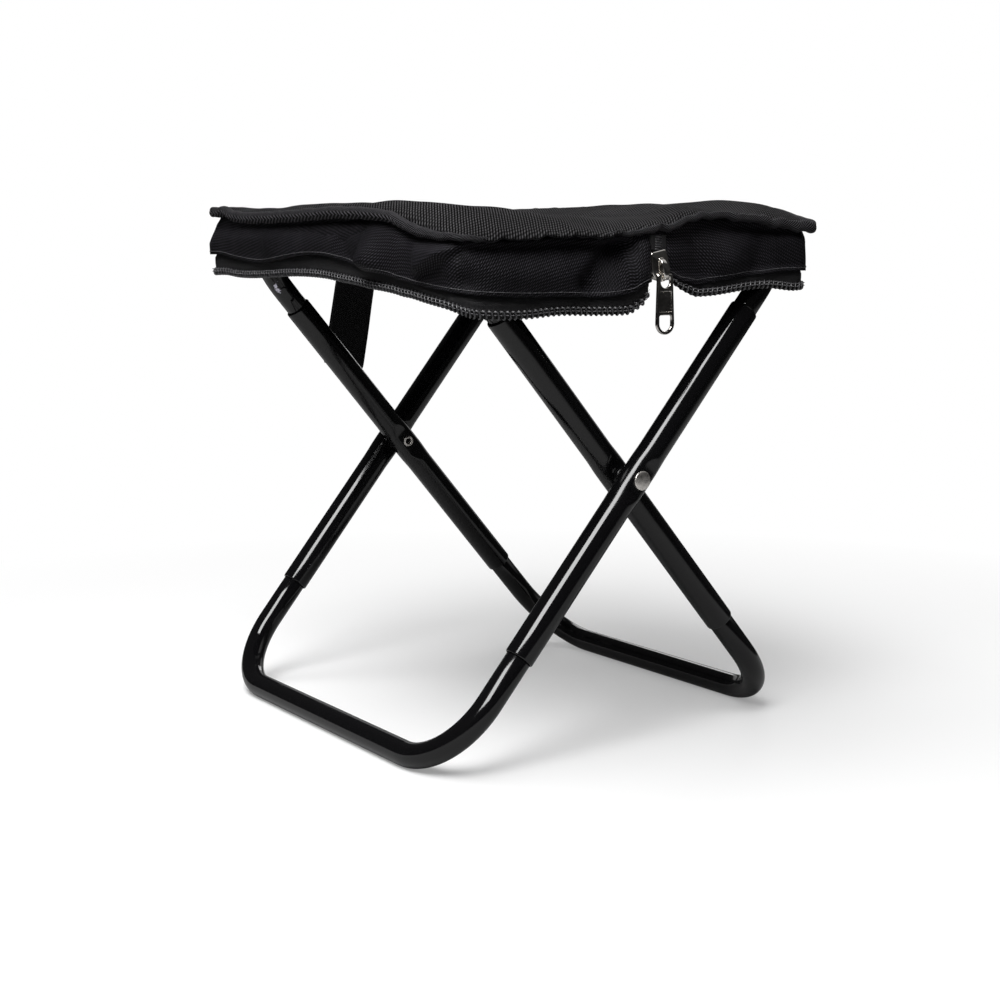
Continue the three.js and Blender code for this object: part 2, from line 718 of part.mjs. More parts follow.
// The panel is drawn in rings, each the edge drawn in by a share, round a middle point
function seatPanel() {
  const edge = panelEdge();
  const count = edge.length;
  const positions = [];
  const put = (x, y, level) => positions.push(x, y, panelZ(x, y) + (level * panel_thickness) / 2);
  for (const level of [1, -1]) {
    for (const share of panel_rings_share) {
      for (const { x, y } of edge) put(x * share, y * share, level);
    }
    put(0, 0, level);
  }
  const indices = [];
  const rings = panel_rings_share.length;
  const under = rings * count + 1;
  for (let r = 0; r < rings - 1; r++) {
    sideFaces(indices, (r + 1) * count, r * count, count);
    sideFaces(indices, under + r * count, under + (r + 1) * count, count);
  }
  for (let k = 0; k < count; k++) {
    const [a, b] = [(rings - 1) * count + k, (rings - 1) * count + ((k + 1) % count)];
    indices.push(a, under - 1, b);
    indices.push(under + a, under + b, 2 * under - 1);
  }
  sideFaces(indices, 0, under, count);
  return closedBody(positions, indices);
}

// Cloth tunnel sewn under the panel, round the top rail that carries it
function railTunnel(side, halfWidth) {
  const halfLength = halfWidth - bend_radius - tunnel_end_gap;
  const inner = ring(bow_radius + fit_gap, 12, Math.PI / 2, true);
  const shell = ring(bow_radius + fit_gap + tunnel_wall, 12, Math.PI / 2, true);
  const railY = side * top_rail_y;
  const steps = 8;
  const stations = Array.from({ length: steps + 1 }, (_, k) => {
    const x = THREE.MathUtils.lerp(-halfLength, halfLength, k / steps);
    const ceiling = panelZ(x, railY) - panel_thickness / 2 - tunnel_slack - top_rail_z;
    const outline = shell.map((p, i) => {
      const atNeck = i === 0 || i === shell.length - 1;
      return atNeck ? new THREE.Vector2(Math.sign(p.x) * tunnel_neck / 2, ceiling) : p;
    });
    return {
      at: new THREE.Vector3(x, railY, top_rail_z),
      across: new THREE.Vector3(0, 1, 0),
      up: skyward,
      outline,
      bore: inner,
    };
  });
  return sweep(stations);
}

addMesh('seat_panel', seatPanel(), oxford_cloth);
addMesh('binding_roll', bindingRoll(), oxford_cloth);
addMesh('front_gusset', gusset(seat_halves.front), oxford_cloth);
addMesh('back_gusset', gusset(seat_halves.back), oxford_cloth);
addMesh('front_zip_tape', zipTape(seat_halves.front), zip_cloth);
addMesh('back_zip_tape', zipTape(seat_halves.back), zip_cloth);
addMesh('front_zip_chain', coilChain(seat_halves.front), nylon);
addMesh('back_zip_chain', coilChain(seat_halves.back), nylon);
addMesh('rail_tunnel_front', railTunnel(-1, inner_half_width), oxford_cloth);
addMesh('rail_tunnel_back', railTunnel(1, outer_half_width), oxford_cloth);

// Zip slider on the fold line: two plates round the chain, joined by a post at the mouth, with
// side flanges and a bridge that holds the pull tab
const slider_face_x = side_reach - bridge_thickness - 2 * fit_gap - Math.hypot(tab_thickness, tab_bar);
const slider_x = slider_face_x - slider_plate - slider_channel / 2;
const slider_top_z = slider_bottom_z + slider_length;
const slider_middle_z = slider_bottom_z + slider_length / 2;
const slider_tilt = THREE.MathUtils.degToRad(slider_tilt_deg);
const pull_x = slider_face_x + fit_gap + Math.hypot(tab_thickness, tab_bar) / 2;
const pull_z = slider_bottom_z + bridge_thickness + fit_gap + Math.hypot(tab_thickness, tab_bar) / 2;
const pull_y = fold_y + tab_offset + (slider_middle_z - pull_z) * Math.sin(slider_tilt);

// A plate drawn in Y and Z and given a thickness along X
function plate(outline, holes, lowX, thickness) {
  const shape = new THREE.Shape(outline);
  shape.holes = holes.map((points) => new THREE.Path(points));
  const slab = new THREE.ExtrudeGeometry(shape, { depth: thickness, bevelEnabled: false });
  const turn = new THREE.Matrix4().makeBasis(
    new THREE.Vector3(0, 1, 0), new THREE.Vector3(0, 0, 1), new THREE.Vector3(1, 0, 0));
  return slab.applyMatrix4(turn).translate(lowX, 0, 0);
}

function arcPoints(centreY, centreZ, radiusY, radiusZ, from, to, steps) {
  return Array.from({ length: steps + 1 }, (_, k) => {
    const angle = THREE.MathUtils.lerp(from, to, k / steps);
    return new THREE.Vector2(centreY + radiusY * Math.cos(angle), centreZ + radiusZ * Math.sin(angle));
  });
}

function sliderOutline() {
  const shoulder = slider_half_width - slider_rear_half_width;
  const mouth = slider_bottom_z + slider_length / 3;
  return [
    ...arcPoints(fold_y, mouth, slider_half_width, slider_length / 3, -Math.PI * 0.8, -Math.PI * 0.2, 5),
    new THREE.Vector2(fold_y + slider_half_width, mouth),
    new THREE.Vector2(fold_y + slider_rear_half_width, slider_top_z - shoulder),
    new THREE.Vector2(fold_y + slider_rear_half_width - shoulder, slider_top_z),
    new THREE.Vector2(fold_y - slider_rear_half_width + shoulder, slider_top_z),
    new THREE.Vector2(fold_y - slider_rear_half_width, slider_top_z - shoulder),
    new THREE.Vector2(fold_y - slider_half_width, mouth),
  ];
}

function sliderFlange(hand, lowX, highX) {
  const mouth = slider_bottom_z + slider_length / 3;
  const at = (inset, z) => new THREE.Vector2(fold_y + hand * (slider_rear_half_width - inset), z);
  const outline = [
    at(slider_flange, mouth), at(0, mouth),
    at(0, slider_top_z - slider_plate), at(slider_flange, slider_top_z - slider_plate),
  ];
  return plate(hand > 0 ? outline : outline.toReversed(), [], lowX, highX - lowX);
}

function sliderBridge() {
  const low = slider_bottom_z;
  const high = slider_bottom_z + bridge_length;
  const rise = side_reach - slider_face_x;
  const sink = slider_plate / 2;
  const profile = new THREE.Shape([
    new THREE.Vector2(-sink, low),
    new THREE.Vector2(rise - bridge_thickness, low),
    new THREE.Vector2(rise, low + bridge_thickness),
    new THREE.Vector2(rise, high - 2 * bridge_thickness),
    new THREE.Vector2(rise - bridge_thickness, high),
    new THREE.Vector2(-sink, high),
    new THREE.Vector2(-sink, high - 2 * bridge_thickness),
    new THREE.Vector2(rise - bridge_thickness, high - 3 * bridge_thickness),
    new THREE.Vector2(rise - bridge_thickness, low + bridge_thickness),
    new THREE.Vector2(-sink, low + bridge_thickness),
  ]);
  const strip = new THREE.ExtrudeGeometry(profile, { depth: 2 * bridge_half_width, bevelEnabled: false });
  const turn = new THREE.Matrix4().makeBasis(
    new THREE.Vector3(1, 0, 0), new THREE.Vector3(0, 0, 1), new THREE.Vector3(0, -1, 0));
  return strip.applyMatrix4(turn).translate(slider_face_x, fold_y + bridge_half_width, 0);
}

function zipSlider() {
  const innerPlateX = slider_face_x - 2 * slider_plate - slider_channel;
  const channelLow = innerPlateX + slider_plate;
  const channelHigh = slider_face_x - slider_plate;
  const flangeHeight = (slider_channel - slider_slot) / 2;
  const overlap = slider_plate / 2;
  const pieces = [
    plate(sliderOutline(), [], innerPlateX, slider_plate),
    plate(sliderOutline(), [], channelHigh, slider_plate),
    sliderBridge(),
  ];
  for (const hand of [1, -1]) {
    pieces.push(sliderFlange(hand, channelLow - overlap, channelLow + flangeHeight));
    pieces.push(sliderFlange(hand, channelHigh - flangeHeight, channelHigh + overlap));
  }
  const post = arcPoints(fold_y, slider_bottom_z + slider_length / 6,
    bridge_half_width, slider_length / 8, 0, 2 * Math.PI, 8).slice(0, -1);
  pieces.push(plate(post, [], channelLow - overlap, slider_channel + 2 * overlap));
  return joined(pieces).translate(0, -fold_y, -slider_middle_z)
    .rotateX(slider_tilt).translate(0, fold_y, slider_middle_z);
}

// Pull tab, hanging from the bridge: a tapered plate with an eye at the top, a plain sunk
// panel on its face and a round-ended hole at the bottom
function pullTab() {
  const top = pull_z + tab_bar / 2;
  const end = pull_z - tab_reach;
  const endCentre = end + tab_end_half_width;
  const corner = tab_corner_radius;
  const outline = [
    ...arcPoints(pull_y, endCentre, tab_end_half_width, tab_end_half_width, -Math.PI, 0, 10),
    ...arcPoints(pull_y + tab_top_half_width - corner, top - corner, corner, corner, 0, Math.PI / 2, 3),
    ...arcPoints(
      pull_y - tab_top_half_width + corner, top - corner, corner, corner, Math.PI / 2, Math.PI, 3),
  ];
  const eyeTop = pull_z - tab_bar / 2;
  const eyeArc = eyeTop - tab_eye_height / 3;
  const eye = arcPoints(pull_y, eyeArc, tab_eye_half_width, (2 * tab_eye_height) / 3, -Math.PI, 0, 6);
  eye.push(new THREE.Vector2(pull_y + tab_eye_half_width, eyeTop));
  eye.push(new THREE.Vector2(pull_y - tab_eye_half_width, eyeTop));
  const holeTop = end + tab_rim + tab_hole_height;
  const holeArc = end + tab_rim + tab_hole_half_width;
  const hole = arcPoints(pull_y, holeArc, tab_hole_half_width, tab_hole_half_width, -Math.PI, 0, 8);
  hole.push(new THREE.Vector2(pull_y + tab_hole_half_width, holeTop));
  hole.push(new THREE.Vector2(pull_y - tab_hole_half_width, holeTop));
  const blank = plate(outline, [eye, hole], pull_x - tab_thickness / 2, tab_thickness);
  const face = pull_x + tab_thickness / 2;
  const sunkHalfWidth = tab_top_half_width - tab_rim;
  const sunkTop = eyeTop - tab_eye_height - tab_web;
  const sunk = box(
    new THREE.Vector3(face - tab_recess, pull_y - sunkHalfWidth, holeTop + tab_web),
    new THREE.Vector3(face + tab_recess, pull_y + sunkHalfWidth, sunkTop));
  return cut(blank, sunk);
}

// Closed piece of zip between the two halves: the two tapes with the meshed coil between them
function zipStub(hand, topZ, bottomZ, coilBottomZ) {
  const x = hand * slider_x;
  const coil = box(
    new THREE.Vector3(x - coil_thickness / 2, fold_y - stub_coil_width / 2, coilBottomZ),
    new THREE.Vector3(x + coil_thickness / 2, fold_y + stub_coil_width / 2, topZ));
  const tapes = box(
    new THREE.Vector3(x - tape_thickness / 2, fold_y - stub_half_width, bottomZ),
    new THREE.Vector3(x + tape_thickness / 2, fold_y + stub_half_width, topZ));
  return joined([tapes, coil]);
}

const stub_top_z = seamZ(seat_halves.front, 0) - roll_radius - fit_gap;
const far_stub_top_z = seamZ(seat_halves.front, 1) - roll_radius - fit_gap;
const far_stub_bottom_z = tapeLineZ(seat_halves.front, 1);
const stub_bottom_z = slider_top_z + stub_gap;
const stub_tongue_z = slider_top_z - slider_length / 4;
addMesh('zip_slider', zipSlider(), nickel);
addMesh('pull_tab', pullTab(), nickel);
addMesh('zip_open_end', zipStub(1, stub_top_z, stub_bottom_z, stub_tongue_z), zip_cloth);
addMesh('zip_far_end', zipStub(-1, far_stub_top_z, far_stub_bottom_z, far_stub_bottom_z), zip_cloth);

// Both pieces of the strap lean a little to the front, about the root's lower edge
function leant(geometry) {
  return geometry.translate(0, -strap_y, -strap_hinge_z)
    .rotateX(-THREE.MathUtils.degToRad(strap_lean_deg)).translate(0, strap_y, strap_hinge_z);
}

// Carry strap: a sewn root of two layers on the far wall, and the free loop that hangs from it
function strapRoot() {
  return leant(box(
    new THREE.Vector3(-side_reach, strap_y - strap_width / 2, strap_hinge_z + fit_gap),
    new THREE.Vector3(-side_reach + 2 * strap_thickness, strap_y + strap_width / 2,
      strap_hinge_z + strap_root_height)));
}

// The loop's outline in X and Z: two layers together at the top, opening inward to a round end
function strapLoop() {
  const outer = side_reach;
  const bottom = strap_hinge_z - strap_drop;
  const radius = strap_loop_thickness / 2;
  const opening = strap_hinge_z - strap_drop / 3;
  const layers = 2 * strap_thickness;
  const curve = (r) => Array.from({ length: strap_bend_steps + 1 }, (_, k) => {
    const angle = Math.PI + (Math.PI * k) / strap_bend_steps;
    return new THREE.Vector2(-outer + radius + r * Math.cos(angle), bottom + radius + r * Math.sin(angle));
  });
  const shape = new THREE.Shape([
    new THREE.Vector2(-outer, strap_hinge_z),
    ...curve(radius),
    new THREE.Vector2(-outer + strap_loop_thickness, opening - strap_drop / 4),
    new THREE.Vector2(-outer + layers, opening),
    new THREE.Vector2(-outer + layers, strap_hinge_z),
  ]);
  shape.holes = [new THREE.Path([
    new THREE.Vector2(-outer + strap_thickness, opening - strap_thickness),
    ...curve(radius - strap_thickness),
    new THREE.Vector2(-outer + strap_loop_thickness - strap_thickness, opening - strap_drop / 4),
  ])];
  const strip = new THREE.ExtrudeGeometry(shape, { depth: strap_width, bevelEnabled: false });
  const turn = new THREE.Matrix4().makeBasis(
    new THREE.Vector3(1, 0, 0), new THREE.Vector3(0, 0, 1), new THREE.Vector3(0, -1, 0));
  return leant(strip.applyMatrix4(turn).translate(0, strap_y + strap_width / 2, 0));
}

addMesh('strap_root', strapRoot(), webbing);
addMesh('carry_strap', strapLoop(), webbing);

export default stool;
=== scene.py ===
# Looks of a folding stool with crossed tube frames and a zip-round cloth seat, in metres.
# +X runs along the pivots to the side with the zip pull, -Y to the front and +Z up.

import random
from math import atan2, copysign, cos, hypot, pi, radians, sin, sqrt, tan

import bpy
import numpy as np
from mathutils import Matrix, Vector


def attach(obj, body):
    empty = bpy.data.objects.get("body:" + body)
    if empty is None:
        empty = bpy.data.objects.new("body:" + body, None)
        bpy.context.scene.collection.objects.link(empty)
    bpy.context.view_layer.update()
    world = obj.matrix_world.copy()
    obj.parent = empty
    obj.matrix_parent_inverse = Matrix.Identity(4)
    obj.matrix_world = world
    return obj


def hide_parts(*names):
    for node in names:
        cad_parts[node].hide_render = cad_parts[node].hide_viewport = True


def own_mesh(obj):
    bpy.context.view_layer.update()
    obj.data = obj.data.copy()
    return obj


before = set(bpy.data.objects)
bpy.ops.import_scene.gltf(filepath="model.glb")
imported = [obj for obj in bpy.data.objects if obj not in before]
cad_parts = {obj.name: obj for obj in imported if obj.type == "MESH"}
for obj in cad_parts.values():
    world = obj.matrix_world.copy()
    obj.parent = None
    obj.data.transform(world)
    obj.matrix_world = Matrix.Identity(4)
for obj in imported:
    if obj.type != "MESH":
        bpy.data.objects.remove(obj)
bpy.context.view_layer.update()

# Bent end tubes. Each of the two crossed frames has one at either end, of 14 mm steel tube
# bent to one radius, painted gloss black. The outer frame's top rail is at the back of the
# seat and its floor rail at the front; the inner frame lies the other way round.
lean = radians(39.9)
pivot_z = 0.1483
foot_reach = 0.1845
top_reach = 0.171
bend_radius = 0.0426
tube_radius = 0.00693
leg_start = 0.077
tube_sides = 40
bend_steps = 20
frames = {
    "outer": {"side": 1, "half": 0.1322, "splay": radians(0.95)},
    "inner": {"side": -1, "half": 0.1156, "splay": 0.0},
}


def feed(value, socket):
    if isinstance(value, bpy.types.NodeSocket):
        value.id_data.links.new(value, socket)
    else:
        socket.default_value = value


def into_surface(made, **inputs):
    surface = made.node_tree.nodes["Principled BSDF"]
    for key, value in inputs.items():
        feed(value, surface.inputs[key.replace("_", " ")])
    return made


def new_material(name, rough, metal=0.0, gloss=0.5):
    made = bpy.data.materials.new(name)
    made.use_nodes = True
    return into_surface(made, Roughness=rough, Metallic=metal, Specular_IOR_Level=gloss)


def source(made, kind, output=0):
    return made.node_tree.nodes.new("ShaderNode" + kind).outputs[output]


def put_node(kind, inputs, output=0, **settings):
    """One output of a new node, in the material that its first socket among inputs comes from."""
    tree = next(value.id_data for value in inputs.values() if isinstance(value, bpy.types.NodeSocket))
    new = tree.nodes.new("ShaderNode" + kind)
    for key, value in settings.items():
        setattr(new, key, value)
    for key, value in inputs.items():
        feed(value, new.inputs[key])
    return new.outputs[output]


def calc(operation, *values):
    return put_node("Math", dict(enumerate(values)), operation=operation)


def ranged(value, low, high, at_low=0.0, at_high=1.0):
    ends = {"Value": value, "From Min": low, "From Max": high, "To Min": at_low, "To Max": at_high}
    return put_node("MapRange", ends, "Result")


def place_of(made):
    return source(made, "TexCoord", "Object")


def grain(made, scale, detail=3.0):
    return put_node("TexNoise", {"Vector": place_of(made), "Scale": scale, "Detail": detail}, "Fac")


def raised(height, distance, strength, under=None):
    sizes = {"Height": height, "Distance": distance, "Strength": strength}
    if under is not None:
        sizes["Normal"] = under
    return put_node("Bump", sizes, "Normal")


def vector_calc(operation, output, inputs):
    return put_node("VectorMath", inputs, output, operation=operation)


def tinted(colour, share):
    return vector_calc("SCALE", "Vector", {0: colour, "Scale": share})


def gloss_paint():
    """Black gloss paint: faint orange peel, cloudy shine, a few pale specks of wear, and three white spots
    of painted highlight standing for a glare.
    """
    made = new_material("gloss_paint", 0.1)
    specks = ranged(grain(made, 900, 1), 0.79, 0.83, 0, 1)
    patches = ranged(grain(made, 35, 2), 0.52, 0.66, 0, 1)
    wear_and_glare = calc("MULTIPLY", specks, patches)
    # a painted highlight: three ragged white spots of glare on the far leg, just above its sleeve
    glare_spots = ((-0.10934, -0.0916, 0.25322), (-0.11034, -0.09085, 0.24994), (-0.11075, -0.08895, 0.24696))
    ragged = calc("MULTIPLY", calc("SUBTRACT", grain(made, 420, 3), 0.5), 0.006)
    for glare_spot in glare_spots:
        away = vector_calc("DISTANCE", "Value", {0: place_of(made), 1: glare_spot})
        spot = ranged(calc("ADD", away, ragged), 0.001, 0.0015, 5, 0)
        wear_and_glare = calc("MAXIMUM", wear_and_glare, spot)
    # the specks of wear and the painted glare spots are both made pale here
    shade = calc("ADD", calc("MULTIPLY", wear_and_glare, 60.0), 1.0)
    cloudy = ranged(grain(made, 18, 4), 0.35, 0.7, 0.06, 0.17)
    return into_surface(made, Base_Color=tinted((0.0034, 0.0033, 0.0038), shade),
                        Roughness=calc("ADD", cloudy, calc("MULTIPLY", wear_and_glare, 0.4)),
                        Normal=raised(grain(made, 420, 2), 0.00005, 0.12))


paint = gloss_paint()


def add_object(name, data):
    made = bpy.data.objects.new(name, data)
    bpy.context.scene.collection.objects.link(made)
    return made


def dress(piece, body, stands_for):
    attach(piece, body)
    if stands_for:
        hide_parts(stands_for)


def add_mesh(name, shape, surface, body, stands_for=None, smooth=True):
    """A piece from its points, faces and UV, or None for no UV."""
    points, faces, uv = shape
    data = bpy.data.meshes.new(name)
    data.from_pydata([tuple(p) for p in points], [], faces)
    data.materials.append(surface)
    if uv is not None:
        layer = data.uv_layers.new(name="UVMap")
        corners = np.zeros(len(data.loops), np.int32)
        data.loops.foreach_get("vertex_index", corners)
        layer.data.foreach_set("uv", np.asarray(uv, np.float32)[corners].ravel())
    data.polygons.foreach_set("use_smooth", [smooth] * len(data.polygons))
    data.update()
    made = add_object(name, data)
    dress(made, body, stands_for)
    return made


def strips(rows, sides, closed=False):
    """Faces that join each ring of points to the next one."""
    faces = []
    for i in range(rows if closed else rows - 1):
        a, b = i * sides, (i + 1) % rows * sides
        for k in range(sides):
            n = (k + 1) % sides
            faces.append((a + k, a + n, b + n, b + k))
    return faces


def distances(route):
    return np.concatenate([[0], np.cumsum(np.linalg.norm(np.diff(route, axis=0), axis=1))])


def sweep(at, across, up, outline, closed=False, caps=True):
    """Points, faces and lengthwise UV, in metres, of an outline carried along stations.

    across, up and the outline can be given once for all stations, or for each."""
    at = np.asarray(at, float)
    count, sides = len(at), np.shape(outline)[-2]
    across, up = (np.broadcast_to(way, at.shape)[:, None] for way in (across, up))
    outline = np.broadcast_to(outline, (count, sides, 2))
    points = at[:, None] + outline[..., :1] * across + outline[..., 1:] * up
    faces = strips(count, sides, closed)
    if caps and not closed:
        faces.append(tuple(range(sides - 1, -1, -1)))
        faces.append(tuple(range((count - 1) * sides, count * sides)))
    girth = np.cumsum(np.linalg.norm(np.diff(outline, axis=1), axis=2), axis=1)
    girth = np.concatenate([np.zeros((count, 1)), girth], axis=1)
    uv = np.stack([np.repeat(distances(at)[:, None], sides, 1), girth], -1)
    return points.reshape(-1, 3), faces, uv.reshape(-1, 2)


def headings(route):
    step = np.gradient(route, axis=0)
    return step / np.linalg.norm(step, axis=1)[:, None]


def ring(radius, sides, turn=0.0):
    angle = turn + np.arange(sides) * 2 * pi / sides
    return np.stack([radius * np.cos(angle), radius * np.sin(angle)], 1)


def in_frame(side, u, v):
    return np.array([u, side * v * sin(lean), v * cos(lean)])


def frame_normal(side):
    return np.array([0, -cos(lean), side * sin(lean)])


def turned_by(vector, angle):
    x, y = vector
    return np.array([x * cos(angle) - y * sin(angle), x * sin(angle) + y * cos(angle)])


def bow_route(half, splay, reach):
    """The bent tube's middle line in its frame's plane: up one leg, along the rail, down."""
    start = copysign(leg_start, reach)
    wide = half + reach * tan(splay)
    leg = half + start * tan(splay)
    corners = [np.array(c) for c in ((leg, start), (wide, reach), (-wide, reach), (-leg, start))]
    route = [corners[0]]
    for i in (1, 2):
        before = corners[i] - corners[i - 1]
        after = corners[i + 1] - corners[i]
        before, after = before / np.linalg.norm(before), after / np.linalg.norm(after)
        turn = atan2(before[0] * after[1] - before[1] * after[0], before @ after)
        first = corners[i] - before * bend_radius * tan(abs(turn) / 2)
        arm = turned_by(before, -copysign(pi / 2, turn)) * bend_radius
        route += [first - arm + turned_by(arm, turn * k / bend_steps) for k in range(bend_steps + 1)]
    return route + [corners[3]]


for name, shape in frames.items():
    side = shape["side"]
    for level, reach in (("upper", top_reach), ("lower", -foot_reach)):
        flat = bow_route(shape["half"], shape["splay"], reach)
        at = np.array([in_frame(side, u, v) + (0, 0, pivot_z) for u, v in flat])
        up = frame_normal(side)
        tube = sweep(at, np.cross(headings(at), up), up, ring(tube_radius, tube_sides))
        add_mesh(f"{name}_{level}_tube", tube, paint, f"{name}_frame",
                 f"{name}_{level}_bow")

# Leg sleeves. Four straight 16 mm tubes, open at both ends, hold the bent tubes. Each is
# pressed flat on two faces round its rivet, and its ends are rolled in by a hair.
sleeve_half = 0.115
sleeve_radius = 0.008
sleeve_bore = 0.0073
sleeve_wall = 0.0007
sleeve_sides = 64
pressed_half = 0.0065
press_blend = 0.0002
press_start, press_end = 0.0065, 0.0195
press_spread = 0.06
end_roll, roll_start, roll_middle = 0.0004, 0.0008, 0.0003
fine_reach = 0.022
fine_places = list(np.linspace(-fine_reach, fine_reach, 45))
plain_places = [0.03, 0.06, 0.09, sleeve_half - roll_start, sleeve_half - roll_middle, sleeve_half]
sleeve_places = np.array([-p for p in reversed(plain_places)] + fine_places + plain_places)


def ramp(value):
    return np.clip(value, 0, 1)


def pressed(outline, place, limit):
    """The round outline with two flats, where the press has shut on it."""
    shut = ramp((press_end - abs(place)) / (press_end - press_start))
    shut = shut * shut * (3 - 2 * shut)
    open_jaw = outline[:, 0].max() + 4 * press_blend
    jaw = open_jaw + (limit - open_jaw) * shut
    across, along = outline.T
    held = -press_blend * np.logaddexp(-np.abs(across) / press_blend, -jaw / press_blend)
    return np.stack([np.sign(across) * np.maximum(held, 0), along * (1 + press_spread * shut)], 1)


def pressed_rings(radius, limit):
    return np.array([pressed(ring(radius, sleeve_sides), place, limit) for place in sleeve_places])


for name, shape in frames.items():
    side, half, splay = shape["side"], shape["half"], shape["splay"]
    for hand_name, hand in (("right", 1), ("left", -1)):
        leg = in_frame(side, hand * sin(splay), cos(splay))
        up = frame_normal(side)
        across = np.cross(leg, up)
        at = in_frame(side, hand * half, 0) + (0, 0, pivot_z) + leg * sleeve_places[:, None]
        from_end = sleeve_half - np.abs(sleeve_places)
        lip = end_roll * np.interp(from_end, [0, roll_middle, roll_start], [1, 0.25, 0])
        outer = pressed_rings(sleeve_radius, pressed_half) * (1 - lip / sleeve_radius)[:, None, None]
        bore = pressed_rings(sleeve_bore, pressed_half - sleeve_wall)
        points, faces, uv = sweep(at, across, up, outer, caps=False)
        inside, lining, inside_uv = sweep(at, across, up, bore, caps=False)
        total = len(points)
        last = total - sleeve_sides
        faces += [tuple(total + i for i in reversed(face)) for face in lining]
        for k in range(sleeve_sides):
            n = (k + 1) % sleeve_sides
            faces.append((n, k, total + k, total + n))
            faces.append((last + k, last + n, total + last + n, total + last + k))
        sleeve = np.concatenate([points, inside]), faces, np.concatenate([uv, inside_uv])
        add_mesh(f"{name}_leg_{hand_name}", sleeve, paint, f"{name}_frame",
                 f"{name}_sleeve_{hand_name}")

# Rivets and washers. One nickel-plated rivet joins the legs on either side: low domed head
# outside, shank, and a hollow tail rolled over inside. A black washer parts the sleeves.
outer_face_x = 0.1387
turned_sides = 64


def nickel_plate(name, low_rough, high_rough):
    """Nickel plate, cloudy and slightly dented, with a warm grey cast."""
    made = new_material(name, low_rough, metal=1.0)
    soil = ranged(grain(made, 190, 3), 0.36, 0.52, 0.75, 1.0)
    return into_surface(made, Base_Color=tinted((0.8, 0.77, 0.73), soil),
                        Roughness=ranged(grain(made, 320, 4), 0.3, 0.75, low_rough, high_rough),
                        Normal=raised(grain(made, 340, 2), 0.00005, 0.3))


dull_nickel = nickel_plate("dull_nickel", 0.28, 0.5)


def turned(name, profile, hand, surface, stands_for):
    """A round piece on the pivot axis, from pairs of radius and distance out of the leg."""
    at = [(hand * (outer_face_x + out), 0, pivot_z) for _, out in profile]
    rings = [ring(radius, turned_sides) for radius, _ in profile]
    points, faces, _ = sweep(at, (0, 1, 0), (0, 0, 1), rings, caps=False)
    if hand < 0:
        faces = [face[::-1] for face in faces]
    add_mesh(name, (points, faces, None), surface, "outer_frame", stands_for)


dome = [(0.0052 * sin(a), 0.0007 + 0.0011 * cos(a)) for a in np.linspace(pi / 2, 0.02, 14)]
rivet_profile = [
    (0.0001, -0.0235), (0.0017, -0.0235), (0.0018, -0.0238), (0.0018, -0.0304), (0.002, -0.0309),
    (0.0024, -0.0312), (0.0029, -0.0311), (0.0033, -0.0307), (0.0034, -0.0302), (0.0033, -0.0299),
    (0.0024, -0.0298), (0.0024, 0.0001), (0.0047, 0.0001), (0.0051, 0.0003)] + dome
washer_profile = [
    (0.0027, -0.0163), (0.0063, -0.0163), (0.0066, -0.016), (0.0066, -0.0136), (0.0063, -0.0133),
    (0.0027, -0.0133), (0.0027, -0.0163)]
for hand_name, hand in (("right", 1), ("left", -1)):
    turned(f"rivet_pin_{hand_name}", rivet_profile, hand, dull_nickel, f"rivet_{hand_name}")
    turned(f"washer_{hand_name}", washer_profile, hand, paint, f"spacer_{hand_name}")

# Seat top. One piece of black plain-woven Oxford cloth over thin foam, crowned over the two
# top rails and sagging between them. Its edge is the seam of the zip-round case, whose two
# halves meet at a fold over the pivots; tables give the heights of seam, wall and zip tape
# by share of the distance round each half, from the zip-pull side to the far side.
half_x, half_y, corner_radius, fold_y = 0.148, 0.1193, 0.014, 0.0049
corner_arc = corner_radius * pi / 2
seam_low_z, seam_rise, wall_height, tape_height = 0.275, 0.022, 0.024, 0.013
crown_z, panel_sag, panel_half = 0.297, 0.011, 0.0012
corner_dip, corner_dip_reach = 0.007, 0.06
side_draw, end_draw = 0.058, 0.03
rumple_rise, rumple_reach = 0.001, 0.014
pleat_at, pleat_across = (0.14, 0.03), (0.42, 0.91)
pleat_rise, pleat_width = 0.002, 0.008
rim_inset, rim_lap = 0.0034, 0.0006
lap_start, lap_end = 0.012, 0.125
corner_reach = 0.0016
case_pieces = []
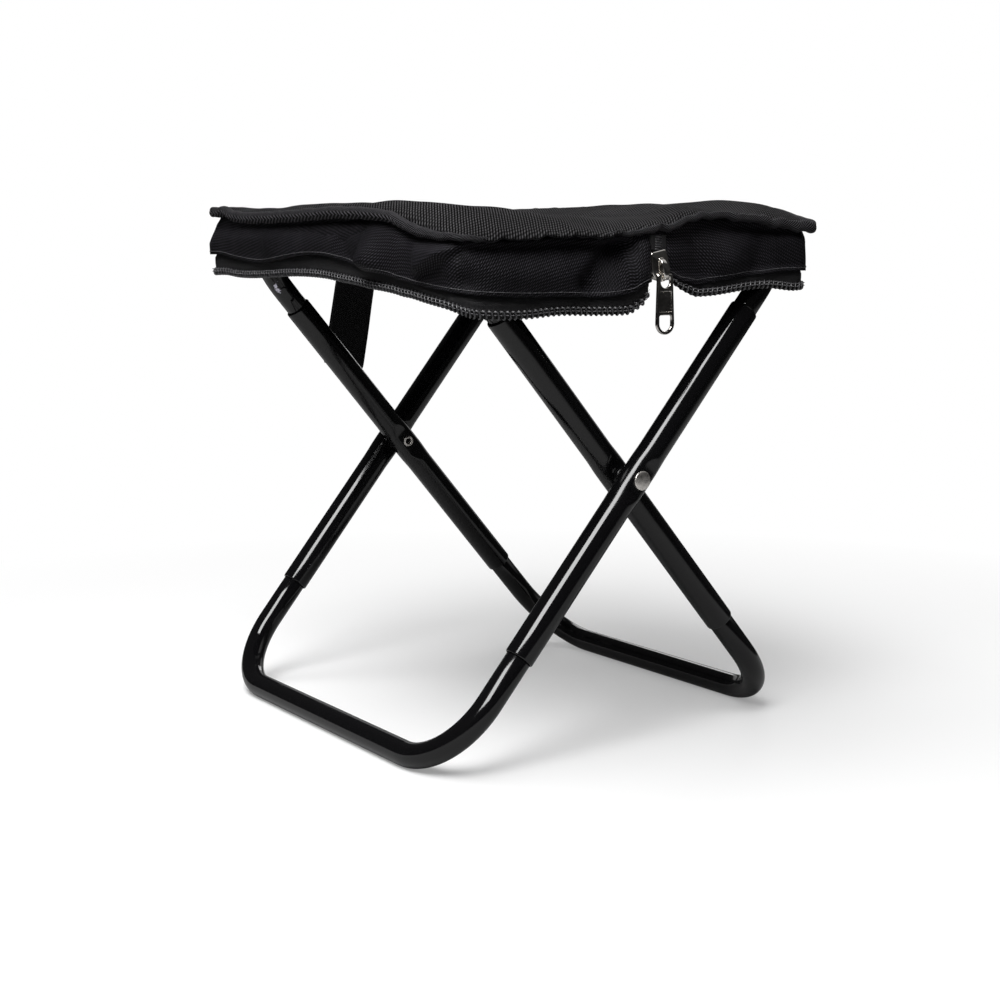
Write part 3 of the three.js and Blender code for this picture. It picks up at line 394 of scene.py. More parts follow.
halves = {
    "front": {
        "side": -1,
        "seam": [
            (0, 0.24), (0.03, 0.15), (0.07, 0.08), (0.12, 0.09), (0.16, 0.03), (0.21, 0.01), (0.26, 0.1),
            (0.294, 0.21), (0.323, 0.4), (0.345, 0.54), (0.375, 0.63), (0.455, 0.72), (0.545, 0.7),
            (0.645, 0.7), (0.7, 0.76), (0.735, 0.88), (0.775, 0.93), (0.82, 0.94), (0.9, 0.8), (1, 0.7)],
        "wall": [
            (0, 1.06), (0.02, 1.15), (0.036, 1.28), (0.12, 1.27), (0.165, 1.2), (0.21, 1.13), (0.26, 1.1),
            (0.3, 1.12), (0.335, 1.22), (0.385, 1.2), (0.44, 1.06), (0.49, 0.94), (0.56, 0.93),
            (0.7, 1), (0.775, 1.08), (0.83, 1.07), (1, 1)],
        "tape": [
            (0, 0.3), (0.01, 0.58), (0.018, 0.86), (0.036, 0.86), (0.07, 0.74), (0.12, 0.76),
            (0.165, 0.88), (0.21, 0.9), (0.26, 0.7), (0.31, 0.66), (0.35, 0.74), (0.41, 0.86),
            (0.47, 1), (0.56, 0.9), (0.69, 0.95), (0.78, 1), (0.9, 1), (0.985, 0.9), (1, 0.3)],
        "bulge": [(0.06, 0.03, 0.5), (0.23, 0.03, 1), (0.37, 0.05, 0.6), (0.62, 0.08, 0.4)],
        "hem_wave": [(0.63, 0.06, 1), (0.53, 0.022, -0.1), (0.4, 0.03, 0.25)],
        "top_shift": [(0.1, 0.09, -0.8), (0.42, 0.14, -0.5), (0.78, 0.03, -1.3)],
        "foot_shift": [(0.78, 0.04, 0.5), (0.225, 0.03, -0.7)],
        "roll": [
            (0, 0.6), (0.04, 0.42), (0.1, 0.36), (0.19, 0.38), (0.24, 0.62), (0.3, 0.85), (0.45, 1.05),
            (0.7, 1.05), (0.76, 0.95), (0.82, 0.85), (1, 0.8)],
        "roll_lump": (0.386, 0.0016),
    },
    "back": {
        "side": 1,
        "seam": [
            (0, 0.24), (0.02, 0.32), (0.04, 0.46), (0.065, 0.56), (0.106, 0.51), (0.147, 0.42),
            (0.19, 0.27), (0.225, 0.3), (0.267, 0.6), (0.3, 0.73), (0.37, 0.84), (0.44, 0.9),
            (0.56, 0.95), (0.69, 0.98), (0.76, 1), (0.8, 0.98), (0.84, 0.9), (0.92, 0.76), (1, 0.7)],
        "wall": [
            (0, 0.93), (0.016, 1.05), (0.028, 1.25), (0.04, 1.38), (0.053, 1.48), (0.08, 1.44),
            (0.133, 1.2), (0.19, 0.98), (0.23, 1), (0.3, 1.08), (0.5, 1.1), (0.75, 1.1), (0.8, 1),
            (1, 1.05)],
        "tape": [
            (0, 0.3), (0.016, 0.26), (0.026, 0.3), (0.04, 0.44), (0.053, 0.52), (0.073, 0.58),
            (0.106, 0.6), (0.148, 0.7), (0.184, 0.85), (0.21, 0.82), (0.26, 0.95), (0.4, 1),
            (0.9, 1), (0.985, 0.9), (1, 0.3)],
        "bulge": [(0.09, 0.04, 0.6), (0.3, 0.05, 0.5), (0.6, 0.08, 0.5)],
        "hem_wave": [(0.14, 0.02, 0.3), (0.5, 0.1, 0.4)],
        "top_shift": [(0.1, 0.09, -0.7), (0.22, 0.022, -0.9)],
        "foot_shift": [(0.22, 0.022, -0.8)],
        "roll": [(0, 0.6), (0.05, 0.6), (0.14, 0.75), (0.2, 0.95), (0.3, 0.66), (0.75, 0.62), (1, 0.8)],
        "roll_lump": (0.101, 0.0012),
    },
}


def cloth_uv(made):
    """How far along and across the cloth a spot lies."""
    place = source(made, "UVMap", "UV")
    return [put_node("SeparateXYZ", {"Vector": place}, way) for way in "XY"]


def wave(value, pitch):
    return calc("SINE", calc("MULTIPLY", value, 2 * pi / pitch))


def oxford(name, colour, glint_gain, rough, gloss, slant, pitch):
    """Weave on the piece's own U and V: slanted rows of yarn, broken by the crossing yarn, with the rows
    painted many times paler than the rest to stand for the yarns' glints, a painted highlight.
    """
    made = new_material(name, rough, gloss=gloss)
    u, v = cloth_uv(made)
    u = calc("ADD", u, calc("MULTIPLY", grain(made, 70, 2), pitch * 0.8))
    crossing = (0.5 * slant[0] + 0.4 * slant[1], 0.5 * slant[1] - 0.4 * slant[0])
    yarns = []
    for across, down in (slant, crossing):
        phase = calc("ADD", calc("MULTIPLY", u, across), calc("MULTIPLY", v, down))
        yarns.append(wave(phase, pitch))
    rows = calc("POWER", ranged(yarns[0], -1, 1), 1.5)
    height = calc("MULTIPLY", rows, ranged(yarns[1], -1, 1, 0.2, 1.0))
    clouds = ranged(grain(made, 26, 4), 0.3, 0.7, 0.75, 1.25)
    # the rows' gain is a painted highlight: it stands for the glints off the yarn, not for paler yarn
    share = calc("MULTIPLY", ranged(height, 0, 1, 0.04, glint_gain), clouds)
    folds = raised(grain(made, 60, 3), 0.0009, 0.3)
    return into_surface(made, Base_Color=tinted(colour, share),
                        Normal=raised(height, 0.00035, 0.75, folds))


cloth_top = oxford("cloth_top", (0.0094, 0.0092, 0.0096), 7.6, 0.9, 0.02, (0.51, 0.86), 0.0014)
# The second copy of the cloth, for walls and tunnels, is painted darker than the top: painted shade for
# the less light they get.
cloth_side = oxford("cloth_side", (0.0054, 0.0051, 0.0061), 8.0, 0.6, 0.08, (1.0, -0.8), 0.0014)


def along_table(table, share):
    x, y = np.array(table, float).T
    slope = np.empty_like(y)
    slope[1:-1] = (y[2:] - y[:-2]) / (x[2:] - x[:-2])
    slope[0] = (y[1] - y[0]) / (x[1] - x[0])
    slope[-1] = (y[-1] - y[-2]) / (x[-1] - x[-2])
    share = ramp(share)
    i = np.clip(np.searchsorted(x, share, side="right") - 1, 0, len(x) - 2)
    width = x[i + 1] - x[i]
    t = (share - x[i]) / width
    return ((2 * t**3 - 3 * t**2 + 1) * y[i] + (t**3 - 2 * t**2 + t) * width * slope[i]
            + (3 * t**2 - 2 * t**3) * y[i + 1] + (t**3 - t**2) * width * slope[i + 1])


def bell(off):
    return np.exp(-(off**2))


def run_of(half):
    return half_y - half["side"] * fold_y - corner_radius


def length_of(half):
    return 2 * run_of(half) + 2 * corner_arc + 2 * (half_x - corner_radius)


def edge(half, along):
    """Place, outward direction and turn of the corner, at distances round one half."""
    run, total = run_of(half), length_of(half)
    mirrored = along > total / 2
    d = np.where(mirrored, total - along, along)
    hand = np.where(mirrored, -1.0, 1.0)
    angle = np.clip((d - run) / corner_radius, 0, pi / 2)
    beyond = np.maximum(d - run - corner_arc, 0)
    out = np.stack([hand * np.cos(angle), half["side"] * np.sin(angle), 0 * d], -1)
    x = hand * (half_x - corner_radius - beyond) + out[..., 0] * corner_radius
    y = fold_y + half["side"] * np.minimum(d, run) + out[..., 1] * corner_radius
    return np.stack([x, y, 0 * x], -1), out, angle


def seam_z(half, share):
    return seam_low_z + seam_rise * along_table(half["seam"], share)


def ripple(x, lengths, seed):
    """A smooth uneven wave along x, between about -1 and 1."""
    pick = random.Random(seed)
    weights = [1 / sqrt(k + 1) for k in range(len(lengths))]
    waves = [w * np.sin(2 * pi * (x / length + pick.random())) for w, length in zip(weights, lengths)]
    return sum(waves) / sum(weights)


def seam_on_side(hand, y):
    result = np.zeros_like(y)
    for half in halves.values():
        total = length_of(half)
        straight = np.minimum(np.abs(y - fold_y), run_of(half))
        past = np.maximum(np.abs(y) - half_y + corner_radius, 0)
        along = straight + past / corner_radius * corner_arc / 2
        z = seam_z(half, (along if hand > 0 else total - along) / total)
        result = np.where((y < fold_y) == (half["side"] < 0), z, result)
    return result


def seam_on_end(half, x):
    total = length_of(half)
    beyond = np.maximum(half_x - corner_radius - np.abs(x), 0)
    past = np.minimum(half_x - np.abs(x), corner_radius)
    along = run_of(half) + corner_arc / 2 + past / corner_radius * corner_arc / 2 + beyond
    return seam_z(half, np.where(x > 0, along, total - along) / total)


def fade(distance, reach):
    return np.maximum(1 - distance / reach, 0) ** 2


def panel_z(x, y):
    """Middle height of the seat top: a sagging crown drawn to the seam all round."""
    dip = corner_dip * bell(np.hypot(x - half_x, y + half_y) / corner_dip_reach)
    base = crown_z - panel_sag * np.cos(pi * y / (2 * half_y)) ** 2 - dip
    sides = [(fade(half_x - hand * x, side_draw), seam_on_side(hand, y), hand) for hand in (1, -1)]
    ends = [(fade(half_y - half["side"] * y, end_draw), seam_on_end(half, x), half["side"] * half_y)
            for half in halves.values()]
    z = base + sum(weight * (seam - base) for weight, seam, _ in sides + ends)
    for weight, _, hand in sides:
        for end_weight, _, corner_y in ends:
            z -= weight * end_weight * (seam_on_side(hand, np.full_like(y, corner_y)) - base)
    return z


def round_the_seat(step):
    """Distances round the front half and then back round the back half, with their edges."""
    for name, half in halves.items():
        places = np.linspace(0, length_of(half), int(length_of(half) / step))
        if name == "back":
            places = places[::-1][1:-1]
        yield half, places, places / length_of(half), *edge(half, places)


def rumple(x, y):
    """Small puckers that the seam pulls into the cloth along the pull side."""
    puckers = ripple(y + 0.3 * x, (0.023, 0.014, 0.009), 13)
    return rumple_rise * bell((half_x - x) / rumple_reach) * puckers


def add_to_case(name, shape, surface, stands_for=None, smooth=True):
    """A piece of the cloth case, which rides on the outer frame."""
    piece = add_mesh(name, shape, surface, "outer_frame", stands_for, smooth)
    case_pieces.append(piece)
    return piece


def seat_top():
    rim = []
    for half, places, _, at, out, angle in round_the_seat(0.0022):
        # along the front half's pull side the cloth runs out over the roll
        over = ramp((lap_end - places) / 0.02) * ramp((places - lap_start) / 0.015)
        over *= half["side"] < 0
        out_by = corner_reach * np.sin(2 * angle) - rim_inset + (rim_inset + rim_lap) * over
        rim.append(at + out * out_by[:, None])
    rim = np.concatenate(rim)
    rings = np.concatenate([[1.0, 0.996, 0.992, 0.982, 0.97, 0.955, 0.938], np.linspace(0.915, 0.05, 40)])
    x, y = (rim[None, :, i] * rings[:, None] for i in (0, 1))
    inside = ramp((1 - rings) / 0.05)[:, None]
    z = panel_z(x, y) + panel_half
    z += inside * 0.0006 * ripple(0.8 * x + 0.6 * y, (0.07, 0.043, 0.029), 11)
    z += inside * 0.0005 * ripple(0.3 * x - y, (0.05, 0.033), 12)
    z += rumple(x, y)
    # a soft pleat runs from the pull side of the back half up over the back rail
    off = (x - pleat_at[0]) * pleat_across[0] + (y - pleat_at[1]) * pleat_across[1]
    z += inside * pleat_rise * bell(off / pleat_width) * ramp((x - 0.02) / 0.08)
    rounding = np.interp(1 - rings, [0, 0.004, 0.008, 0.018, 0.03], [0.9, 0.55, 0.3, 0.08, 0])
    rounding = rounding[:, None] * panel_half
    top = np.stack([x, y, z - rounding], -1).reshape(-1, 3)
    middle = [[0, 0, crown_z - panel_sag + panel_half]]
    under = np.stack([x, y, z + rounding - 2 * panel_half], -1).reshape(-1, 3)
    base, count = len(top) + 1, len(rim)
    last = len(top) - count
    faces = strips(len(rings), count)
    faces += [tuple(base + i for i in reversed(face)) for face in faces]
    for k in range(count):
        n = (k + 1) % count
        faces.append((last + k, last + n, base - 1))
        faces.append((n, k, base + k, base + n))
    faces.append(tuple(base + last + k for k in reversed(range(count))))
    points = np.concatenate([top, middle, under])
    return add_to_case("seat_top", (points, faces, points[:, :2]), cloth_top, "seat_panel")


seat_top()

# Seam roll. The seam is bound by a stuffed roll of herringbone tape: fat along the front,
# thin and rumpled along the pull side, with a stuffed nose at each corner.
roll_radius, roll_sides = 0.0032, 24
roll_inset = 0.0015
roll_uneven, roll_bumps = 0.06, 0.14
groove_angle, groove_width, groove_depth = 0.28, 0.24, 0.12
nose_length = 0.0042
chevron_height, rib_pitch, plain_pitch = 0.0089, 0.0041, 0.0015
roll_seam = 0.0109


def herringbone():
    """Slanted ribs that turn back along the middle of the roll, and plain weave over its seam."""
    made = new_material("herringbone", 0.6, gloss=0.08)
    u, v = cloth_uv(made)
    slant = calc("MULTIPLY", calc("PINGPONG", v, chevron_height), 2.1)
    along = calc("ADD", u, calc("MULTIPLY", grain(made, 80, 2), 0.0012))
    ribs = []
    for way, pitch in ((slant, rib_pitch), (v, plain_pitch)):
        rows = wave(calc("ADD", along, way), pitch)
        ribs.append(calc("POWER", ranged(rows, -1, 1), 3.0))
    over = ranged(v, roll_seam - 0.0002, roll_seam + 0.0002)
    rib = calc("MULTIPLY_ADD", over, calc("SUBTRACT", ribs[1], ribs[0]), ribs[0])
    shade = ranged(rib, 0, 1, 0.02, 15.0)
    rumpled = raised(grain(made, 90, 3), 0.0008, 0.35)
    return into_surface(made, Base_Color=tinted((0.0062, 0.006, 0.0065), shade),
                        Normal=raised(rib, 0.0004, 0.8, rumpled))


def seam_roll():
    columns = []
    for half, places, share, at, out, angle in round_the_seat(0.0012):
        turns, front = np.sin(2 * angle), half["side"] < 0
        lump_at, lump_rise = half["roll_lump"]
        at = at + out * (corner_reach * turns - roll_inset)[:, None]
        at[:, 2] = seam_z(half, share) + lump_rise * bell((places - lump_at) / 0.006)
        at[:, 2] += rumple(at[:, 0], at[:, 1])
        girth = along_table(half["roll"], share)
        bumpy = ramp((run_of(half) + 0.012 - places) / 0.012)
        nose = np.where(front == (at[:, 0] < 0), -0.3, 0.1)
        plain = ramp((0.18 - places) / 0.06)
        columns.append((at, out, turns, girth, bumpy, nose, plain))
    at, out, turns, girth, bumpy, nose, plain = (np.concatenate(column) for column in zip(*columns))
    length = distances(at)
    at[:, 2] += 0.0003 * ripple(length, (0.031, 0.019, 0.011), 3)
    thick = roll_radius * girth * (1 + roll_uneven * ripple(length, (0.024, 0.013, 0.008), 5))
    thick *= 1 + bumpy * roll_bumps * ripple(length, (0.012, 0.0075, 0.005), 6)
    section = ring(1, roll_sides, pi)
    outline = section[None] * thick[:, None, None]
    forward = np.maximum(section[:, 0], 0) ** 1.5
    outline[:, :, 0] += nose_length * forward[None] * (nose * turns**3)[:, None]
    outline[:, :, 1] *= 1 - 0.16 * (nose * turns)[:, None]
    stitch_groove = bell((np.arctan2(section[:, 1], section[:, 0]) - groove_angle) / groove_width)
    outline *= (1 - groove_depth * stitch_groove)[None, :, None]
    points, faces, uv = sweep(at, out, (0, 0, 1), outline, closed=True)
    # the chevrons turn up under the seat's cloth before the pull side
    round_it = np.arange(roll_sides) * 2 * pi / roll_sides * roll_radius
    uv[:, 1] = (round_it[None] + 0.008 * plain[:, None]).ravel()
    add_to_case("seam_roll", (points, faces, uv), herringbone(), "binding_roll")


seam_roll()

# Side walls. One band of the same cloth round each half, 24 mm high, leans and swells round
# the corners, is pulled into a tuck at the low front corner, and is turned in at its hem.
wall_start = 0.00585
wall_step = 0.0014
wall_levels = np.linspace(0, 1, 27)
wall_cloth, wall_cut = 0.0009, 0.031
wall_under_seam = 0.0014
shift_reach, bulge_reach, hem_reach = 0.005, 0.003, 0.003
hem_turn = 0.0025
hem_stitch, thread_step = 0.0031, 0.0004
hem_thread, thread_sides = 0.00009, 5
thread_sunk, thread_rise = 0.00005, 0.00028
wall_out, wall_tucked, wall_slack = 0.0003, 0.0026, 0.0004
lean_level = 0.72


def sewing_thread():
    made = new_material("sewing_thread", 0.55)
    shade = ranged(grain(made, 900, 2), 0.3, 0.7, 0.5, 1.5)
    return into_surface(made, Base_Color=tinted((0.09, 0.088, 0.094), shade))


thread = sewing_thread()


def wire(route, radius, sides):
    """A thin round tube through many points, its sections square to its run."""
    ahead = headings(route)
    across = np.cross(ahead, (0.0, 0.0, 1.0))
    size = np.linalg.norm(across, axis=1)
    across[size < 0.2] = np.cross(ahead[size < 0.2], (1.0, 0.3, 0.0))
    across /= np.linalg.norm(across, axis=1)[:, None]
    outline = ring(1, sides)[None] * np.broadcast_to(radius, len(route))[:, None, None]
    return sweep(route, across, np.cross(across, ahead), outline)


def humps(table, share):
    return sum(size * bell((share - centre) / width) for centre, width, size in table)


def tape_line_z(half, share):
    return seam_z(half, share) - wall_height * along_table(half["wall"], share)


def hem_z(half, share):
    return tape_line_z(half, share) - tape_height * along_table(half["tape"], share)


def foot_shift(half, share):
    return shift_reach * humps(half["foot_shift"], share)


def wall_offset(half, share, level):
    tilt = wall_out - wall_tucked * np.maximum(1 - 4 * level, 0)
    top, foot = shift_reach * humps(half["top_shift"], share), foot_shift(half, share)
    bulge = bulge_reach * humps(half["bulge"], share) * np.sin(pi * level) ** 2
    return tilt + top + (foot - top) * np.minimum(level / lean_level, 1) + bulge


def from_line(along, z, start, end):
    """Distance below a line on the wall, and 1 beside the line falling to 0 past its ends."""
    (a, b), (c, d) = start, end
    length = hypot(c - a, d - b)
    ahead = ((along - a) * (c - a) + (z - b) * (d - b)) / length
    below = ((along - a) * (d - b) - (z - b) * (c - a)) / length
    past = np.maximum(np.maximum(-ahead, ahead - length), 0)
    return below, bell(past / 0.005)


def ridge(along, z, start, end, rise, steep, gentle, recess, recover):
    """A tuck: a crest on the line, sharp and drawn in below it, easing off above it."""
    below, ends = from_line(along, z, start, end)
    over = rise * bell(below / gentle)
    under = (rise + recess) * bell(below / steep) - recess * bell(below / recover)
    return ends * np.where(below < 0, over, under)


def valley(along, z, start, end, depth, before, after=None):
    """A valley, whose bank after the line can be longer than the one before it."""
    below, ends = from_line(along, z, start, end)
    return -depth * ends * bell(below / np.where(below < 0, before, after or before))


def swell(along, z, centre, nearer, further, tall, rise):
    """A swelling that can end sharply on one side and run out on the other."""
    off = along - centre[0]
    return rise * bell(off / np.where(off < 0, nearer, further)) * bell((z - centre[1]) / tall)


def pillow(along, z, centre, reach, tall, rise):
    return swell(along, z, centre, reach, reach, tall, rise)


def drawn_in(along, z, depth, reach):
    """The end of a wall, drawn in behind the slider."""
    return -depth * ramp(1 - along / reach) ** 2


def set_back(along, z, depth, end, top):
    """A low strip from the slider to a given place, set back under the swell above it."""
    return -depth * ramp((top - z) / 0.02) * ramp((end - along) / 0.02)


# Folds of each wall, placed by distance from the pull side and by height.
wall_folds = {
    "front": [
        # the tuck at the low front corner, with the corner's own crease and the hollow behind it
        (ridge, (0.1245, 0.2715), (0.152, 0.2615), 0.0042, 0.0024, 0.012, 0.0032, 0.015),
        (ridge, (0.1245, 0.2505), (0.1235, 0.2695), 0.0005, 0.0022, 0.0022, 0.0, 0.01),
        (pillow, (0.117, 0.256), 0.009, 0.008, -0.003),
        # the hollow under the roll, and the folds that swell out below it
        (valley, (0.122, 0.2725), (0.172, 0.2785), 0.0026, 0.0042),
        (valley, (0.215, 0.2835), (0.4, 0.2855), 0.0026, 0.0045),
        (swell, (0.206, 0.2615), 0.017, 0.006, 0.0125, 0.0088),
        (pillow, (0.197, 0.266), 0.007, 0.01, 0.0022),
        (valley, (0.226, 0.256), (0.236, 0.276), 0.0022, 0.008),
        (pillow, (0.3, 0.268), 0.03, 0.008, 0.0014),
        (valley, (0.335, 0.275), (0.36, 0.262), 0.0012, 0.008),
        # the pull side: hollow above, swell below, and the pucker beside the slider
        (valley, (0.02, 0.2715), (0.112, 0.2705), 0.0024, 0.006),
        (pillow, (0.082, 0.258), 0.026, 0.006, 0.002),
        (valley, (0.023, 0.2745), (0.046, 0.253), 0.0068, 0.0055, 0.014),
        (pillow, (0.012, 0.262), 0.006, 0.012, 0.0016),
        (drawn_in, 0.0045, 0.009)],
    "back": [
        (valley, (0.008, 0.2755), (0.1, 0.2825), 0.0024, 0.0055),
        (pillow, (0.046, 0.262), 0.011, 0.007, 0.0032),
        (ridge, (0.014, 0.2522), (0.061, 0.2587), 0.001, 0.0016, 0.005, 0.001, 0.004),
        (valley, (0.024, 0.272), (0.033, 0.254), 0.0024, 0.004, 0.006),
        (valley, (0.066, 0.258), (0.074, 0.28), 0.002, 0.008),
        (set_back, 0.004, 0.115, 0.2755),
        (drawn_in, 0.0045, 0.009)],
}


def stations(half, count):
    """Distances and shares along one wall, with the edge's places and outward directions."""
    total = length_of(half)
    places = np.linspace(wall_start, total - wall_start, count)
    at, out, _ = edge(half, places)
    return places, places / total, at, out


def side_wall(name, half):
    total = length_of(half)
    wall_run = total - 2 * wall_start
    places, share, at, out = stations(half, int(wall_run / wall_step))
    top = seam_z(half, share) - wall_under_seam
    foot = tape_line_z(half, share) - hem_reach * humps(half["hem_wave"], share)
    z = top[:, None] + (foot - top)[:, None] * wall_levels[None]
    offset = np.stack([wall_offset(half, share, level) for level in wall_levels], 1)
    loose = wall_slack * ripple(places, (0.045, 0.028, 0.017), 21)
    offset += loose[:, None] * np.sin(pi * wall_levels)[None]
    held = ramp(wall_levels * 9) * ramp((1 - wall_levels) * 4 + 0.35)
    offset += sum(kind(places[:, None], z, *sizes) for kind, *sizes in wall_folds[name]) * held[None]
    inner = offset - wall_cloth
    inner[:, -1] -= hem_turn
    outline = np.concatenate([np.stack([offset, z], -1), np.stack([inner, z], -1)[:, ::-1]], 1)
    # the walls wear the darker copy of the seat's cloth, which is painted shade
    wall = add_to_case(f"{name}_wall", sweep(at, out, (0, 0, 1), outline), cloth_side,
                       f"{name}_gusset")
    fine, _, at, out = stations(half, int(total / thread_step))
    stitch = np.abs(np.sin(pi * fine / hem_stitch))
    proud = np.interp(fine, places, offset[:, -3]) - thread_sunk + thread_rise * stitch
    route = at + out * proud[:, None]
    route[:, 2] = np.interp(fine, places, z[:, -3])
    row = wire(route, hem_thread * (1 + stitch), thread_sides)
    add_to_case(f"{name}_hem_thread", row, thread)


for name, half in halves.items():
    side_wall(name, half)

# Zip. A finer woven tape hangs from each wall, with the nylon coil sewn along its edge by two
# rows of thread. The coil's loops stand past the tape like a comb. A short closed piece of
# the zip shows at either end of the fold.
coil_pitch, coil_height, coil_wire = 0.0033, 0.005, 0.00052
coil_back, coil_depth, coil_slant = 0.0031, 0.0014, 0.9
coil_thread, coil_thread_swell = 0.00005, 0.00025
coil_thread_back, coil_thread_rise = 0.0018, 0.0008
coil_steps, coil_sides = 14, 7
coil_show = {"front": 0.0008, "back": 0.0004}
coil_rows = (0.0009, 0.0024)
tape_cloth, tape_turning, tape_step = 0.0007, 0.003, 0.002
tape_back, tape_slack = 0.003, 0.0004
meshed_pitch, meshed_wire, meshed_deep, meshed_wide = 0.0012, 0.00042, 0.0006, 0.0019
stub_half, stub_cloth, stub_inset = 0.005, 0.0004, 0.0026


def zip_weave():
    """Fine herringbone tape, darker and smoother than the seat's cloth, with painted shade on the strip
    behind the coil.
    """
    made = new_material("zip_weave", 0.65, gloss=0.3)
    u, v = cloth_uv(made)
    rib = wave(calc("ADD", u, calc("PINGPONG", v, 0.0016)), 0.0009)
    # painted shade: the tape is darkened behind the coil, where shade falls between its loops
    coil_shade = ranged(v, 0.0036, 0.0044, 0.2, 1.0)
    shade = calc("MULTIPLY", ranged(rib, -1, 1, 0.4, 1.9), coil_shade)
    return into_surface(made, Base_Color=tinted((0.013, 0.0127, 0.0138), shade),
                        Normal=raised(rib, 0.00015, 0.6))


def moulded_nylon():
    made = new_material("moulded_nylon", 0.32, gloss=0.7)
    shade = ranged(grain(made, 400, 2), 0.3, 0.7, 0.6, 1.5)
    return into_surface(made, Base_Color=tinted((0.05, 0.0495, 0.053), shade),
                        Roughness=ranged(grain(made, 300, 2), 0.3, 0.7, 0.2, 0.4))


tape_weave, nylon = zip_weave(), moulded_nylon()


def chain_top_z(half, share):
    room = tape_height * along_table(half["tape"], share) - 0.0003
    return hem_z(half, share) + np.minimum(coil_height, room)


def on_hem(half, along, offset, z):
    at, out, _ = edge(half, along)
    at = at + out * (offset + foot_shift(half, along / length_of(half)))[:, None]
    at[:, 2] = z
    return at


def hung_tape(name, half):
    total = length_of(half)
    places, share, at, out = stations(half, int(total / tape_step))
    shift = foot_shift(half, share)
    hem, line, chain = hem_z(half, share), tape_line_z(half, share), chain_top_z(half, share)
    lower = np.minimum(hem + coil_show[name] * (1 + 0.8 * bell(places / 0.02)), chain - 0.0006)
    slack = tape_slack * ripple(places, (0.05, 0.03), 31)
    rows = [(-tape_back, z) for z in (lower, (lower + chain) / 2, chain)]
    rows += [(-0.0028 + slack, chain + (line - chain) * level) for level in (0.35, 0.75)]
    rows += [(-0.0042, line + 0.0008), (-0.0046, line + 0.003)]
    outer = np.stack([np.stack([shift + offset, z], -1) for offset, z in rows], 1)
    outline = np.concatenate([outer, (outer - (tape_cloth, 0))[:, ::-1]], 1)
    tape = add_to_case(f"{name}_tape", sweep(at, out, (0, 0, 1), outline), tape_weave,
                       f"{name}_zip_tape")


def coil(name, half):
    """Every loop goes down in front, round its head and up behind, then on to the next."""
    total = length_of(half)
    run = total - 2 * wall_start
    loops = int(round(run / coil_pitch))
    turn = np.linspace(0, loops, loops * coil_steps)
    swing = 2 * pi * turn
    along = wall_start + (turn + coil_slant * (np.cos(swing) - 1) / (2 * pi)) * run / loops
    share = along / total
    low, high = hem_z(half, share) + coil_wire, chain_top_z(half, share) - coil_wire
    height = (low + high) / 2 - (high - low) / 2 * np.sin(swing)
    route = on_hem(half, along, -coil_back - coil_depth * np.cos(swing), height)
    add_to_case(f"{name}_coil", wire(route, coil_wire, coil_sides), nylon,
                f"{name}_zip_chain")


def coil_stitches(name, half, row, drop):
    along, share, _, _ = stations(half, int(length_of(half) / thread_step))
    top = chain_top_z(half, share)
    stitch = np.abs(np.sin(pi * along / coil_pitch)) ** 3
    drop = np.minimum(drop, (top - hem_z(half, share)) * 0.5)
    radius = coil_thread + coil_thread_swell * stitch
    route = on_hem(half, along, coil_thread_rise * stitch - coil_thread_back, top - drop)
    add_to_case(f"{name}_coil_thread_{row}", wire(route, radius, thread_sides), thread)


def closed_zip(name, x, low, high, tongue, stands_for):
    """The last inch of the zip: two tapes side by side with the meshed coil between them."""
    at = [(x, fold_y, z) for z in np.linspace(low, high, 12)]
    corners = [(y * stub_half, out * stub_cloth) for y, out in ((-1, -1), (1, -1), (1, 1), (-1, 1))]
    tapes = sweep(at, (0, 1, 0), (1, 0, 0), corners)
    add_to_case(f"zip_{name}_tape", tapes, tape_weave, stands_for, smooth=False)
    length = high - low + tongue
    loops = int(length / meshed_pitch)
    turn = np.linspace(0, loops, loops * coil_steps)
    swing = 2 * pi * turn
    route = np.stack([x + meshed_deep * np.sin(swing), fold_y + meshed_wide * np.cos(swing),
                      low - tongue + length * turn / loops], 1)
    add_to_case(f"zip_{name}_coil", wire(route, meshed_wire, coil_sides), nylon)


slider_face_x = 0.148107
for name, half in halves.items():
    hung_tape(name, half)
    coil(name, half)
    for row, drop in enumerate(coil_rows):
        coil_stitches(name, half, row, drop)
closed_zip("open", slider_face_x - stub_inset, 0.2696, 0.277, 0.003, "zip_open_end")
closed_zip("far", stub_inset - slider_face_x, 0.266, 0.2869, 0.0, "zip_far_end")

# Rail tunnels. Two sleeves of the same cloth, sewn under the seat top, take the top rails.
tunnel_radius, tunnel_neck = 0.0082, 0.003
rail_z = pivot_z + top_reach * cos(lean)
for name, side, body, reach in (("front", -1, "inner_frame", 0.0676), ("back", 1, "outer_frame", 0.0846)):
    rail_y = side * top_reach * sin(lean)
    xs = np.linspace(-reach, reach, 80)
    ceiling = panel_z(xs, np.full_like(xs, rail_y)) - panel_half - 0.0001 - rail_z
    shell = ring(tunnel_radius, 36, pi / 2)
    outline = np.repeat(shell[None], len(xs), 0)
    neck = ramp(1 - np.abs(shell[:, 0]) / tunnel_neck) ** 0.5 * (shell[:, 1] > 0)
    outline[:, :, 1] += neck[None] * (ceiling[:, None] - shell[None, :, 1])
    outline[:, :, 1] += 0.0002 * ripple(xs, (0.02, 0.012), 51)[:, None]
    tunnel = sweep([(x, rail_y, rail_z) for x in xs], (0, 1, 0), (0, 0, 1), outline)
    add_mesh(f"{name}_tunnel", tunnel, cloth_side, body, f"rail_tunnel_{name}")

